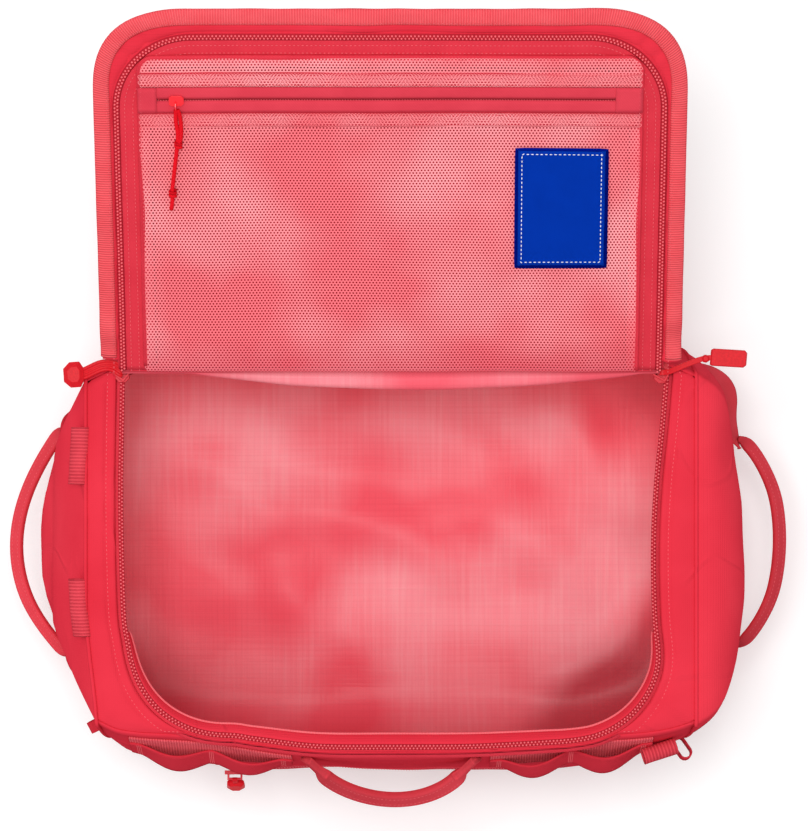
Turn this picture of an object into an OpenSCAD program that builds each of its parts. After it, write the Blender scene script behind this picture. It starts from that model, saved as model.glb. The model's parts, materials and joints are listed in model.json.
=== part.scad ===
// Soft duffel bag for ski boots: a sewn fabric body standing on its base, with a
// U-shaped zip opening and the lid folded back.
// Origin: middle of the base on the floor. +X along the bag, +Y to the back, +Z up.

/* [Body] */
// Length over the two bulged end panels
body_l = 570; // [540:5:600]
// Depth over the bulged front and back panels
body_d = 368; // [350:2:390]
// Height of the rim above the floor
body_h = 280; // [265:5:310]
// Length between the two end seams
seam_l = 470; // [456:2:484]
// Depth of the flat rim from front edge to back edge
rim_d = 310; // [306:1:324]
// Radius of the rim's soft edge
rim_r = 5; // [4:0.5:8]
// Radius where the walls turn under into the base
base_r = 40; // [30:1:50]
// Height at which the front and back bulge most
bulge_z = 120; // [90:5:150]
// Fullness of the left end panel, larger is boxier
left_fullness = 1.6; // [1.4:0.1:4]
// Fullness of the right end panel, larger is boxier
right_fullness = 6; // [4:0.5:8]
// Thickness of the coated fabric
fabric_t = 1.6; // [1.2:0.1:2.2]
// Distance of the lining inside the outer face
lining_in = 5; // [4.5:0.1:6]
// Thickness of the lining
lining_t = 1; // [0.6:0.1:1.4]
// Thickness of the foam board in the base
pad_t = 4.6; // [3:0.2:6]

/* [Opening and zip] */
// Width of the opening between the two side zips
zip_w = 414; // [396:2:424]
// Distance of the front zip inside the rim's front edge
front_in = 7; // [6:1:15]
// Distance of the lid's hinge inside the rim's back edge
hinge_in = 17; // [13:1:25]
// Corner radius of the zip
zip_r = 80; // [60:1:100]
// Width of the row of teeth on one tape
teeth_w = 5; // [4:0.2:6]
// Height of the row of teeth
teeth_h = 3.4; // [2.4:0.2:4]
// Pitch of the teeth
teeth_pitch = 2.6; // [2.2:0.1:4]
// Width of one zip tape beside its teeth
tape_w = 12; // [8:0.5:14]
// Thickness of a zip tape
tape_t = 1.2; // [0.8:0.1:1.4]
// Distance of the two open sliders from the hinge
slider_back = 13; // [13:1:30]
// Length of the loose pull with the flat bar, on the right slider
pull_l = 57; // [45:1:64]
// Length of the loose pull with the bead, on the left slider
bead_pull_l = 49; // [40:1:60]
// Angle by which the pull with the flat bar bends towards the hinge
pull_bend = 24; // [0:1:26]
// Angle by which the pull with the bead bends towards the hinge
bead_pull_bend = 12; // [0:1:20]

/* [Lid] */
// Angle of the open lid above level
lid_tilt = 30; // [0:1:40]
// Length of the lid from hinge to front zip
lid_l = 275; // [264:1:280]
// Width of the lid between its side zips
lid_w = 404; // [388:2:410]
// Corner radius of the lid's zip
lid_r = 56; // [45:1:80]
// Overhang of the storm flap past the front zip
flap_w = 21; // [18:1:24]
// Overhang of the storm flap past the side zips
flap_side = 16.5; // [16:0.5:24]
// Width of the binding on the flap's edge
binding_w = 13; // [8:0.5:14]
// Height of the hinge above the rim
hinge_up = 13; // [12.5:0.5:18]
// Depth of the flat mesh pocket in the lid
pocket_depth = 3.2; // [3:0.1:5]
// Distance of the pocket zip inside the lid's front zip
pocket_in = 48; // [45:1:85]
// Width of the pocket's zip tapes together
pocket_tape_w = 20; // [17:0.5:24]
// Width and height of the sewn label
label_size = [67, 96]; // [20:1:120]

/* [Webbing and handles] */
// Width of the webbing
web_w = 25; // [20:1:30]
// Thickness of the webbing
web_t = 1.5; // [1:0.1:2]
// Height of the webbing's middle on front and back
web_z = 250; // [240:1:252]
// Distance between the bar tacks of the lashing loops
tack_pitch = 56; // [46:1:58]
// Distance of the first bar tack from the middle
tack_start = 84; // [80:1:90]
// How far a lashing loop stands off the webbing
loop_rise = 10.5; // [8:0.5:14]
// Half the distance between the ends of the front and back handles
side_handle_u = 44; // [40:1:66]
// Reach of the front and back handles
side_handle_v = 29; // [26:1:44]
// Droop of the front handle
side_handle_droop = 35; // [20:1:45]
// Slimness of the front and back handles' arch, larger is more pointed
side_handle_slim = 1.15; // [0.85:0.05:1.4]
// Half the distance between the ends of the left handle
left_handle_u = 96; // [80:1:104]
// Reach of the left handle
left_handle_v = 41; // [34:1:48]
// Slimness of the left handle's arch, larger is more pointed
left_handle_slim = 1.5; // [0.85:0.05:1.5]
// Half the distance between the ends of the right handle
right_handle_u = 84; // [60:1:96]
// Reach of the right handle
right_handle_v = 29; // [26:1:44]
// Slimness of the right handle's arch, larger is more pointed
right_handle_slim = 1.25; // [0.85:0.05:1.3]
// Height of the end handles
end_handle_z = 140; // [125:1:160]
// Droop of the end handles
end_handle_droop = 20; // [0:1:40]
// Half width and half thickness of a rolled handle
handle_half = [6, 4.5]; // [3:0.5:8]

/* [Front pocket] */
// Length of the front pocket's zip
front_zip_l = 280; // [240:5:300]
// Height of the front pocket's zip
front_zip_z = 190; // [175:1:196]

/* [Hidden] */
$fn = 48;

// Colours as they look in daylight
red = [0.88, 0.17, 0.24];
deep_red = [0.78, 0.10, 0.17];
light_red = [0.98, 0.36, 0.40];
pink = [0.98, 0.55, 0.57];
bright_red = [0.95, 0.10, 0.15];
blue = [0.03, 0.20, 0.70];
foam_grey = [0.35, 0.35, 0.36];

clear_gap = 0.3;
sewn_gap = 0.15;

half_l = body_l / 2;
half_d = body_d / 2;
seam_x = seam_l / 2;
wall_top_z = body_h - 2 * rim_r;
wall_top_y = rim_d / 2 + rim_r;
zip_front = rim_d / 2 - front_in;
hinge_y = rim_d / 2 - hinge_in;
pocket_v = lid_l - pocket_in;
wall_k = (half_d - wall_top_y) / pow(wall_top_z - bulge_z, 2);
plan_power = 4;
end_bulge = half_l - seam_x;
mid_z = body_h / 2;

x_steps = 18;
wall_steps = 7;
arc_steps = 5;

// Narrowing of the bag towards its ends, a superellipse seen from above
function plan(x) = pow(1 - pow(abs(x) / half_l, plan_power), 1 / plan_power);

// Half depth of the wall at a height, a flat parabola
function wall(z) = half_d - wall_k * pow(z - bulge_z, 2);

// One side of the cross-section from the rim down to the base, set in by d
function rim_arc(d) =
    let (r = max(rim_r - d, 0.5), mid = wall_top_y - d - r)
        [for (a = [90:-30:0]) [mid + r * cos(a), wall_top_z + (2 * rim_r - d) * sin(a)]];
function wall_line(d) = [
    for (i = [1:wall_steps])
        let (z = wall_top_z + (base_r - wall_top_z) * i / wall_steps) [wall(z) - d, z]
];
function base_arc(d) = [
    for (i = [1:arc_steps])
        let (a = 90 * i / arc_steps)
            [wall(base_r) - base_r + (base_r - d) * cos(a), base_r - (base_r - d) * sin(a)]
];
function wall_section(d) = concat(rim_arc(d), wall_line(d));
function base_section(d) =
    let (half = concat([[wall(base_r) - d, base_r]], base_arc(d)))
        concat([for (p = half) [-p[0], p[1]]], [for (i = [len(half) - 1:-1:0]) half[i]]);

function x_row(half, steps) = [for (i = [0:steps]) -half + 2 * half * i / steps];

// Rows of points: a section swept along the bag, narrowing with the plan
function swept(section, xs) = [
    for (x = xs) [for (p = section) [x, p[0] * plan(x), p[1]]]
];
function front_of(section) = [for (p = section) [-p[0], p[1]]];

function quad(a, b, c, d) = [[a, b, c], [a, c, d]];

// A sheet with thickness between two grids of points
module sheet(outer, inner) {
    n = len(outer);
    m = len(outer[0]);
    function o(i, j) = i * m + j;
    function q(i, j) = n * m + i * m + j;
    polyhedron(
        points = concat([for (r = outer) each r], [for (r = inner) each r]),
        faces = [
            for (i = [0:n - 2], j = [0:m - 2])
                each quad(o(i, j), o(i + 1, j), o(i + 1, j + 1), o(i, j + 1)),
            for (i = [0:n - 2], j = [0:m - 2])
                each quad(q(i, j), q(i, j + 1), q(i + 1, j + 1), q(i + 1, j)),
            for (i = [0:n - 2]) each quad(o(i + 1, 0), o(i, 0), q(i, 0), q(i + 1, 0)),
            for (i = [0:n - 2])
                each quad(o(i, m - 1), o(i + 1, m - 1), q(i + 1, m - 1), q(i, m - 1)),
            for (j = [0:m - 2]) each quad(o(0, j), o(0, j + 1), q(0, j + 1), q(0, j)),
            for (j = [0:m - 2])
                each quad(o(n - 1, j + 1), o(n - 1, j), q(n - 1, j), q(n - 1, j + 1))
        ]
    );
}

// The closed outline of the cross-section at an end seam, set in by d
function end_outline(d) =
    let (
        top = [for (i = [0:3]) [rim_d / 2 * i / 4, body_h - d]],
        side = concat(rim_arc(d), wall_line(d), base_arc(d)),
        floor_y = wall(base_r) - base_r,
        under = [for (i = [3:-1:0]) [floor_y * i / 4, d]],
        half = concat(top, side, under)
    )
    concat(half, [for (i = [len(half) - 2:-1:1]) [-half[i][0], half[i][1]]]);

end_rings = [1, 0.96, 0.9, 0.8, 0.64, 0.4];

// A domed end panel on the +X side: outlines drawn in towards the middle as they move out
module dome(seam, outer_in, inner_in, outer_bulge, inner_bulge, fullness) {
    edge = plan(seam_x);
    rings = len(end_rings);
    outer_line = end_outline(outer_in);
    inner_line = end_outline(inner_in);
    n = len(outer_line);
    function ring(line, bulge, f) = [
        for (p = line)
            [seam + bulge * (1 - pow(f, fullness)), p[0] * edge * f, mid_z + (p[1] - mid_z) * f]
    ];
    function o(k, p) = k * n + p % n;
    function q(k, p) = rings * n + k * n + p % n;
    tip = 2 * rings * n;
    polyhedron(
        points = concat(
            [for (f = end_rings) each ring(outer_line, outer_bulge, f)],
            [for (f = end_rings) each ring(inner_line, inner_bulge, f)],
            [[seam + outer_bulge, 0, mid_z], [seam + inner_bulge, 0, mid_z]]
        ),
        faces = [
            for (k = [0:rings - 2], p = [0:n - 1])
                each quad(o(k, p), o(k, p + 1), o(k + 1, p + 1), o(k + 1, p)),
            for (k = [0:rings - 2], p = [0:n - 1])
                each quad(q(k, p), q(k + 1, p), q(k + 1, p + 1), q(k, p + 1)),
            for (p = [0:n - 1]) [o(rings - 1, p), o(rings - 1, p + 1), tip],
            for (p = [0:n - 1]) [q(rings - 1, p + 1), q(rings - 1, p), tip + 1],
            for (p = [0:n - 1]) each quad(o(0, p + 1), o(0, p), q(0, p), q(0, p + 1))
        ]
    );
}

// The U of the opening: hinge at y_back, front at y_front, half width w, corners r.
// Each side is set in by d towards the middle.
module u_area(w, y_back, y_front, r, d) {
    translate([-(w - d), y_front + r])
        square([2 * (w - d), y_back - y_front - r]);
    translate([-(w - r), y_front + d])
        square([2 * (w - r), r - d + 1]);
    for (side = [-1, 1])
        translate([side * (w - r), y_front + r])
            circle(r - d);
}

module u_band(w, y_back, y_front, r, d_out, d_in) {
    difference() {
        u_area(w, y_back, y_front, r, d_out);
        u_area(w, y_back + 1, y_front, r, d_in);
    }
}

// A point and inward normal at distance s along the U, from its left end
function u_at(s, w, y_back, y_front, r) =
    let (
        leg = y_back - y_front - r,
        arc = r * PI / 2,
        front = 2 * (w - r),
        s2 = s - leg,
        s3 = s2 - arc,
        s4 = s3 - front,
        s5 = s4 - arc,
        a2 = s2 / r * 180 / PI,
        a4 = s4 / r * 180 / PI
    )
    s <= leg ? [[-w, y_back - s], [1, 0]]
    : s2 <= arc ? [[-w + r - r * cos(a2), y_front + r - r * sin(a2)], [cos(a2), sin(a2)]]
    : s3 <= front ? [[-w + r + s3, y_front], [0, 1]]
    : s4 <= arc ? [[w - r + r * sin(a4), y_front + r - r * cos(a4)], [-sin(a4), cos(a4)]]
    : [[w, y_front + r + s5], [-1, 0]];

function u_length(w, y_back, y_front, r) =
    2 * (y_back - y_front - r) + PI * r + 2 * (w - r);

// A row of zip teeth along the U: square teeth on a straight back
module u_teeth(w, y_back, y_front, r, tip, root, back) {
    total = u_length(w, y_back, y_front, r);
    count = floor(total / teeth_pitch);
    step = total / count / 2;
    function along(s, off) =
        let (at = u_at(s, w, y_back, y_front, r)) at[0] + at[1] * off;
    polygon([
        for (i = [0:2 * count - 1], e = [0, 1])
            along((i + e) * step, i % 2 == 0 ? tip : root),
        for (i = [2 * count:-4:0]) along(i * step, back)
    ]);
}

// Body

module base_panel() {
    xs = x_row(seam_x, x_steps);
    color(red) sheet(swept(base_section(0), xs), swept(base_section(fabric_t), xs));
}

module base_pad() {
    pad_z = fabric_t + sewn_gap;
    pad_half_x = seam_x - 20;
    pad_half_y = (wall(base_r) - base_r) * plan(pad_half_x) - 4;
    pad_r = 20;
    color(foam_grey)
        translate([0, 0, pad_z])
            linear_extrude(pad_t) {
                square([2 * pad_half_x, 2 * (pad_half_y - pad_r)], center = true);
                square([2 * (pad_half_x - pad_r), 2 * pad_half_y], center = true);
                for (i = [-1, 1], j = [-1, 1])
                    translate([i * (pad_half_x - pad_r), j * (pad_half_y - pad_r)])
                        circle(pad_r);
            }
}

module wall_panel() {
    xs = x_row(seam_x, x_steps);
    sheet(swept(front_of(wall_section(0)), xs), swept(front_of(wall_section(fabric_t)), xs));
}

module front_panel() {
    color(red) wall_panel();
}

module back_panel() {
    color(red) mirror([0, 1, 0]) wall_panel();
}

module end_panel(fullness) {
    dome(seam_x, 0, fabric_t, end_bulge, end_bulge - fabric_t, fullness);
}

module right_end_panel() {
    color(red) end_panel(right_fullness);
}

module left_end_panel() {
    color(red) mirror([1, 0, 0]) end_panel(left_fullness);
}

edge_w = zip_w / 2 + teeth_w / 2 + 1.5;
edge_front = -zip_front - teeth_w / 2 - 1.5;
edge_r = zip_r + teeth_w / 2 + 1.5;

module frame_outline(rim) {
    xs = x_row(seam_x, x_steps);
    polygon([
        for (x = xs) [x, -rim * plan(x)],
        for (i = [x_steps:-1:0]) [xs[i], rim * plan(xs[i])]
    ]);
}

module top_frame() {
    color(red)
        translate([0, 0, body_h - fabric_t])
            linear_extrude(fabric_t)
                difference() {
                    frame_outline(rim_d / 2 - sewn_gap);
                    u_area(edge_w, hinge_y, edge_front, edge_r, 0);
                }
}

// Upright strip of fabric at the back of the opening, with a piped edge that the lid turns on
module hinge_strip() {
    strip_half = lid_w / 2 - 2;
    neck = 0.9;
    color(deep_red)
        translate([-strip_half, hinge_y, body_h - fabric_t])
            rotate([90, 0, 90])
                linear_extrude(2 * strip_half) {
                    translate([-sewn_gap - neck, 0])
                        square([neck, fabric_t + hinge_up]);
                    translate([0, fabric_t + hinge_up])
                        circle(piping_r);
                }
}

lining_floor = fabric_t + pad_t + 2 * sewn_gap;
lining_x = seam_x - 4;
lining_steps = 14;
lining_end_gap = 0.3;

// The lining's cross-section from the front rim down, across and up the back
function lining_section(d) =
    let (
        side = concat([for (p = wall_section(d)) if (p[1] <= wall_top_z) p], base_arc(d)),
        raised = [for (p = side) [p[0], max(p[1], lining_floor + d - lining_in)]]
    )
    concat([for (p = raised) [-p[0], p[1]]], [for (i = [len(raised) - 1:-1:0]) raised[i]]);

module lining() {
    xs = x_row(lining_x, lining_steps);
    inner = lining_in + lining_t;
    end_reach = seam_x + end_bulge - lining_in - lining_x - lining_end_gap;
    color(pink) {
        sheet(swept(lining_section(lining_in), xs), swept(lining_section(inner), xs));
        for (side = [0, 1])
            mirror([side, 0, 0])
                dome(
                    lining_x + lining_end_gap, lining_in, inner, end_reach, end_reach - lining_t,
                    side == 1 ? left_fullness : right_fullness
                );
    }
}

tape_top = body_h - fabric_t;
teeth_z = tape_top + 1.9 - teeth_h;

module body_zip_tape() {
    color(deep_red)
        translate([0, 0, tape_top - tape_t])
            linear_extrude(tape_t)
                intersection() {
                    u_band(
                        zip_w / 2, hinge_y - 2, -zip_front, zip_r,
                        -teeth_w / 2 - tape_w, -teeth_w / 2 - sewn_gap
                    );
                    frame_outline(rim_d / 2 - 2);
                }
}

module body_zip_teeth() {
    color(deep_red)
        translate([0, 0, teeth_z])
            linear_extrude(teeth_h)
                u_teeth(
                    zip_w / 2, hinge_y - 2, -zip_front, zip_r,
                    teeth_w / 2, teeth_w / 2 - 2, -teeth_w / 2
                );
}

// Webbing on the front and back

function on_wall(x, z, off) = [x, -(wall(z) * plan(x) + off), z];

module wall_strip(xs, offsets, thick, low, high) {
    last = len(xs) - 1;
    sheet(
        [for (i = [0:last]) [for (z = [high, low]) on_wall(xs[i], z, offsets[i] + thick)]],
        [for (i = [0:last]) [for (z = [high, low]) on_wall(xs[i], z, offsets[i])]]
    );
}

web_low = web_z - web_w / 2;
web_high = web_z + web_w / 2;
web_end = tack_start + 2 * tack_pitch + 4;
strap_t = 1.4;
sag_gap = 0.3;

module side_webbing() {
    xs = x_row(web_end, x_steps);
    wall_strip(xs, [for (x = xs) sag_gap], web_t, web_low, web_high);
}

module front_webbing() {
    color(deep_red) side_webbing();
}

module back_webbing() {
    color(deep_red) mirror([0, 1, 0]) side_webbing();
}

// Smooth strap tacked to the webbing, standing off in two loops at each side
module lash_strap() {
    loops = 2;
    steps = 10;
    foot = sag_gap + web_t + sag_gap;
    xs = [for (i = [0:loops * steps]) tack_start + tack_pitch * i / steps];
    rises = [for (i = [0:loops * steps]) foot + loop_rise * pow(sin(180 * i / steps), 2)];
    inset = 1;
    wall_strip(xs, rises, strap_t, web_low + inset, web_high - inset);
}

module side_lash_loops() {
    lash_strap();
    mirror([1, 0, 0]) lash_strap();
}

module front_lash_loops() {
    color(red) side_lash_loops();
}

module back_lash_loops() {
    color(red) mirror([0, 1, 0]) side_lash_loops();
}

// Handles: rolled webbing in an arch, drooping from its two sewn ends

handle_steps = 20;
handle_sides = 8;

module handle_arch(half_span, reach, slim) {
    function at(i) =
        let (a = 180 * i / handle_steps)
            [reach * pow(sin(a), slim), half_span * cos(a)];
    function across(i) =
        let (
            a = at(max(i - 1, 0)),
            b = at(min(i + 1, handle_steps)),
            t = i == 0 || i == handle_steps ? [i == 0 ? 1 : -1, 0] : (b - a) / norm(b - a)
        )
        [-t[1], t[0]];
    function ring(i) = [
        for (k = [0:handle_sides - 1])
            let (c = 360 * k / handle_sides, n = across(i), p = at(i))
                [
                    p[0] + n[0] * handle_half[1] * cos(c),
                    p[1] + n[1] * handle_half[1] * cos(c),
                    handle_half[0] * sin(c)
                ]
    ];
    function v(i, k) = i * handle_sides + k % handle_sides;
    polyhedron(
        points = [for (i = [0:handle_steps]) each ring(i)],
        faces = [
            for (i = [0:handle_steps - 1], k = [0:handle_sides - 1])
                each quad(v(i, k), v(i, k + 1), v(i + 1, k + 1), v(i + 1, k)),
            for (k = [1:handle_sides - 2]) [v(0, 0), v(0, k + 1), v(0, k)],
            for (k = [1:handle_sides - 2])
                [v(handle_steps, 0), v(handle_steps, k), v(handle_steps, k + 1)]
        ]
    );
}

tab_t = 1.5;
tab_foot = sag_gap + web_t + sag_gap;
side_axis_y = wall(web_z) + sag_gap + web_t + handle_half[0] + 0.6;
back_hang = 70;

module front_handle() {
    color(light_red)
        translate([0, -side_axis_y, web_z])
            rotate([0, 0, -90])
                rotate([0, side_handle_droop, 0])
                    handle_arch(side_handle_u, side_handle_v, side_handle_slim);
}

module back_handle() {
    color(light_red)
        translate([0, side_axis_y, web_z])
            rotate([0, 0, 90])
                rotate([0, back_hang, 0])
                    handle_arch(side_handle_u, side_handle_v, side_handle_slim);
}

// Sewn ends of a front or back handle: layered webbing that rises to meet the handle
module side_handle_tabs() {
    start = side_handle_u + handle_half[1] + sag_gap;
    stop = tack_start - sag_gap;
    steps = 4;
    high = side_axis_y + 3 - wall(web_z) - tab_foot;
    xs = [for (i = [0:steps]) start + (stop - start) * i / steps];
    outer = [
        for (i = [0:steps]) [
            for (z = [web_high - 5, web_low + 5])
                on_wall(xs[i], z, tab_foot + tab_t + (high - tab_t) * pow(1 - i / steps, 2))
        ]
    ];
    inner = [for (x = xs) [for (z = [web_high - 5, web_low + 5]) on_wall(x, z, tab_foot)]];
    for (side = [0, 1])
        mirror([side, 0, 0])
            sheet(outer, inner);
}

module front_handle_tabs() {
    color(light_red) side_handle_tabs();
}

module back_handle_tabs() {
    color(light_red) mirror([0, 1, 0]) side_handle_tabs();
}

// How far out an end panel stands where an outline scaled by f crosses it, and at a point
function dome_x(f, fullness) = seam_x + end_bulge * (1 - pow(f, fullness));
function end_face(y, z, fullness) =
    dome_x(
        max(
            abs(y) / (plan(seam_x) * wall(z)),
            z > mid_z ? (z - mid_z) / (body_h - mid_z) : (mid_z - z) / mid_z
        ),
        fullness
    );

// The line that an end handle swings on, just clear of its panel
function end_axis_x(half_span, fullness) =
    end_face(half_span, end_handle_z, fullness) + handle_half[0] + 0.6;

module end_handle(half_span, reach, slim, fullness) {
    translate([end_axis_x(half_span, fullness), 0, end_handle_z])
        rotate([0, end_handle_droop, 0])
            handle_arch(half_span, reach, slim);
}

module right_handle() {
    color(light_red) end_handle(right_handle_u, right_handle_v, right_handle_slim, right_fullness);
}

module left_handle() {
    color(light_red)
        mirror([1, 0, 0])
            end_handle(left_handle_u, left_handle_v, left_handle_slim, left_fullness);
}

// Webbing on an end panel, from each end of the handle round towards the corner
module end_strap(half_span, fullness) {
    start = half_span + handle_half[1] + sag_gap;
    stop = wall(end_handle_z) * plan(seam_x) - 12;
    strap_half = web_w / 2;
    steps = 8;
    gap = 0.9;
    thick = 3.2;
    out = end_axis_x(half_span, fullness) + 3;
    ys = [for (i = [0:steps]) start + (stop - start) * i / steps];
    zs = [end_handle_z - strap_half, end_handle_z + strap_half];
    function face(y, z) = end_face(y, z, fullness) + gap;
    function rise(y, z) = max(0, out - (y - start) * 0.9 - face(y, z) - thick);
    sheet(
        [for (y = ys) [for (z = zs) [face(y, z) + thick + rise(y, z), y, z]]],
        [for (y = ys) [for (z = zs) [face(y, z), y, z]]]
    );
}

module end_straps(half_span, fullness) {
    end_strap(half_span, fullness);
    mirror([0, 1, 0]) end_strap(half_span, fullness);
}

module right_end_straps() {
    color(light_red) end_straps(right_handle_u, right_fullness);
}

module left_end_straps() {
    color(light_red) mirror([1, 0, 0]) end_straps(left_handle_u, left_fullness);
}

// Sleeves of ribbed webbing and small loops at the corners

module stadium(long, wide) {
    square([long - wide, wide], center = true);
    for (side = [-1, 1])
        translate([side * (long - wide) / 2, 0])
            circle(d = wide);
}

module sleeve_section(long, wide) {
    difference() {
        stadium(long, wide);
        stadium(long - 2 * web_t, wide - 2 * web_t);
    }
}

sleeve_long = 15;
sleeve_wide = 11;
sleeve_f = 0.935;

module left_strap_sleeves() {
    length = 44;
    places = [72, -45];
    slope = atan2(
        dome_x(sleeve_f - 0.02, left_fullness) - dome_x(sleeve_f + 0.02, left_fullness),
        (body_h - mid_z) * 0.04
    );
    rise = 90 - slope;
    lift = sleeve_wide / 2 + 0.7;
    for (y = places)
        color(light_red)
            mirror([1, 0, 0])
                translate([
                    dome_x(sleeve_f, left_fullness) + lift * cos(slope), y,
                    mid_z + (body_h - mid_z) * sleeve_f + lift * sin(slope)
                ])
                    rotate([0, rise, 0])
                        rotate([90, 0, 0])
                            linear_extrude(length, center = true)
                                sleeve_section(sleeve_long, sleeve_wide);
}

module front_strap_sleeve() {
    wide = 13;
    length = 24;
    x = web_end + 2 + length / 2;
    run = length / 2;
    turn = atan2(wall(web_z) * (plan(x - run) - plan(x + run)), 2 * run);
    lift = wide / 2 + 0.3;
    color(light_red)
        translate([x, -wall(web_z) * plan(x), web_z])
            rotate([0, 0, turn])
                translate([0, -lift, 0])
                    rotate([0, 90, 0])
                        linear_extrude(length, center = true)
                            sleeve_section(sleeve_long, wide);
}

// Small loops standing out of the front corners, open upwards
module corner_loops() {
    loop_long = 20;
    loop_wide = 11;
    loop_h = 9;
    low = 196;
    x = seam_x - 4;
    turn = 55;
    for (side = [0, 1])
        color(bright_red)
            mirror([side, 0, 0])
                translate([x, -wall(low + loop_h) * plan(x), low])
                    rotate([0, 0, -turn])
                        translate([loop_long / 2 + 0.9, 0, 0])
                            linear_extrude(loop_h)
                                sleeve_section(loop_long, loop_wide);
}

// Front pocket zip: a straight tape lying against the front panel

front_slope = atan2(wall(front_zip_z - 5) - wall(front_zip_z + 5), 10);
front_tape_h = 20;
front_teeth = [1.6, 4.4];
front_rest_x = -front_zip_l / 2 + 15;

module front_pocket_place() {
    translate([0, -wall(front_zip_z) - 0.35, front_zip_z])
        rotate([-front_slope, 0, 0])
            children();
}

module front_pocket_tape() {
    color(deep_red)
        front_pocket_place()
            translate([-front_zip_l / 2, -tape_t, -front_tape_h / 2])
                cube([front_zip_l, tape_t, front_tape_h]);
}

module front_pocket_teeth() {
    count = floor((front_zip_l - 12) / teeth_pitch);
    color(deep_red)
        front_pocket_place()
            translate([0, -tape_t, 0])
                rotate([90, 0, 0])
                    linear_extrude(front_teeth[0])
                        polygon([
                            for (side = [1, -1], i = [0:2 * count - 1], e = [0, 1])
                                let (
                                    along = (i + e - count) * teeth_pitch / 2,
                                    deep = i % 2 == 0 ? 0 : 0.7
                                )
                                [side * along, side * (front_teeth[1] / 2 - deep)]
                        ]);
}

bail_r = 1;
eye_r = 2.5;
eye_gap = 0.35;
bail_span = 12;
bail_post = 1.6;

// Two posts and a bar along Y, for a pull to hang on; the bar's middle at height up
module bail(up) {
    rotate([90, 0, 0])
        cylinder(r = bail_r, h = bail_span, center = true);
    for (side = [-1, 1])
        translate([-bail_r, side * (bail_span / 2 - bail_post / 2) - bail_post / 2, -up])
            cube([2 * bail_r, bail_post, up + bail_r]);
}

// A pull on a bar along Y, reaching out along +X: eye, neck and tab. The neck may bend
// aside past the eye. The tab is an outline starting at the neck's end, with its thickness.
module pull(length, neck_w, tab, tab_t, bend) {
    eye_w = 6;
    eye_l = 6;
    neck_t = 2.4;
    tab_l = max([for (p = tab) p[0]]);
    neck_l = length - tab_l;
    rib = [1.4, 0.6];
    module bent() {
        translate([eye_l, 0, 0])
            rotate([0, 0, bend])
                translate([-eye_l, 0, 0])
                    children();
    }
    difference() {
        union() {
            rotate([90, 0, 0])
                cylinder(r = eye_r, h = eye_w, center = true);
            translate([0, 0, -neck_t / 2])
                linear_extrude(neck_t) {
                    polygon([[0, -2.5], [eye_l + 1, -2.5], [eye_l + 1, 2.5], [0, 2.5]]);
                    bent()
                        polygon([
                            [eye_l, -2.5], [eye_l + 3, -neck_w / 2], [neck_l + 1, -neck_w / 2],
                            [neck_l + 1, neck_w / 2], [eye_l + 3, neck_w / 2], [eye_l, 2.5]
                        ]);
                }
        }
        rotate([90, 0, 0])
            cylinder(r = bail_r + eye_gap, h = eye_w + 2, center = true);
    }
    bent() {
        for (side = [-1, 0, 1])
            translate([eye_l + 3, side * (neck_w / 2 - rib[0] / 2) - rib[0] / 2, -neck_t / 2 - rib[1]])
                cube([neck_l - eye_l - 2, rib[0], neck_t + 2 * rib[1]]);
        translate([neck_l, 0, -tab_t / 2])
            linear_extrude(tab_t)
                polygon(concat(tab, [for (i = [len(tab) - 1:-1:0]) [tab[i][0], -tab[i][1]]]));
    }
}

// Half outlines of the tabs: a flat bar with cut corners and a six-sided bead
bar_tab = [[0, 2.5], [3, 6.5], [24, 6.5], [27, 4]];
bead_tab = [[0, 4.5], [2, 8.5], [9, 8.5], [13, 4.5]];

front_plate = [3.4, 1.4];
front_bail_up = 3.4;
front_pull_l = 42;

module front_slider_place() {
    front_pocket_place()
        translate([front_rest_x, 0, 0])
            rotate([90, 0, 0])
                rotate([0, 0, -90])
                    children();
}

// Slider of the front pocket: a channel over the teeth with a bail on it
module front_slider() {
    length = 16;
    half_w = front_teeth[1] / 2 + 1.6;
    low = tape_t + clear_gap;
    top = tape_t + front_plate[0];
    color(bright_red)
        front_slider_place() {
            difference() {
                translate([-half_w, -length / 2, low])
                    cube([2 * half_w, length, top - low]);
                translate([-front_teeth[1] / 2 - clear_gap, -length / 2 - 1, low - 1])
                    cube([
                        front_teeth[1] + 2 * clear_gap, length + 2,
                        1 + front_teeth[0]
                    ]);
            }
            translate([0, 0, top + front_bail_up])
                bail(front_bail_up);
        }
}

module front_pull() {
    color(bright_red)
        front_slider_place()
            translate([0, 0, tape_t + front_plate[0] + front_bail_up])
                pull(front_pull_l, 5, bar_tab, 4, 0);
}

// Main sliders

slider_y = hinge_y - slider_back;
slider_top = teeth_z + teeth_h + clear_gap;
plate_t = 1.6;
main_bail_up = 3.2;

module main_slider_place() {
    translate([zip_w / 2, slider_y, 0])
        children();
}

// Two plates round the teeth, joined by a post inside the opening, with a bail
module main_slider() {
    length = 17;
    inner = -teeth_w / 2 - 4;
    outer = teeth_w / 2 + 3;
    post_w = 3.4;
    post_l = 6;
    bottom = teeth_z - clear_gap;
    main_slider_place() {
        for (z = [bottom - plate_t, slider_top])
            translate([0, 0, z])
                linear_extrude(plate_t)
                    polygon([
                        [inner, length / 2 - 3], [inner + 3, length / 2], [outer - 2, length / 2],
                        [outer, length / 2 - 2], [outer, -length / 2 + 4],
                        [outer - 3, -length / 2], [inner + 3, -length / 2], [inner, -length / 2 + 4]
                    ]);
        translate([inner, -post_l / 2, bottom - plate_t])
            cube([post_w, post_l, slider_top - bottom + 2 * plate_t]);
        translate([0, 0, slider_top + plate_t + main_bail_up])
            bail(main_bail_up + plate_t / 2);
    }
}

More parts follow.
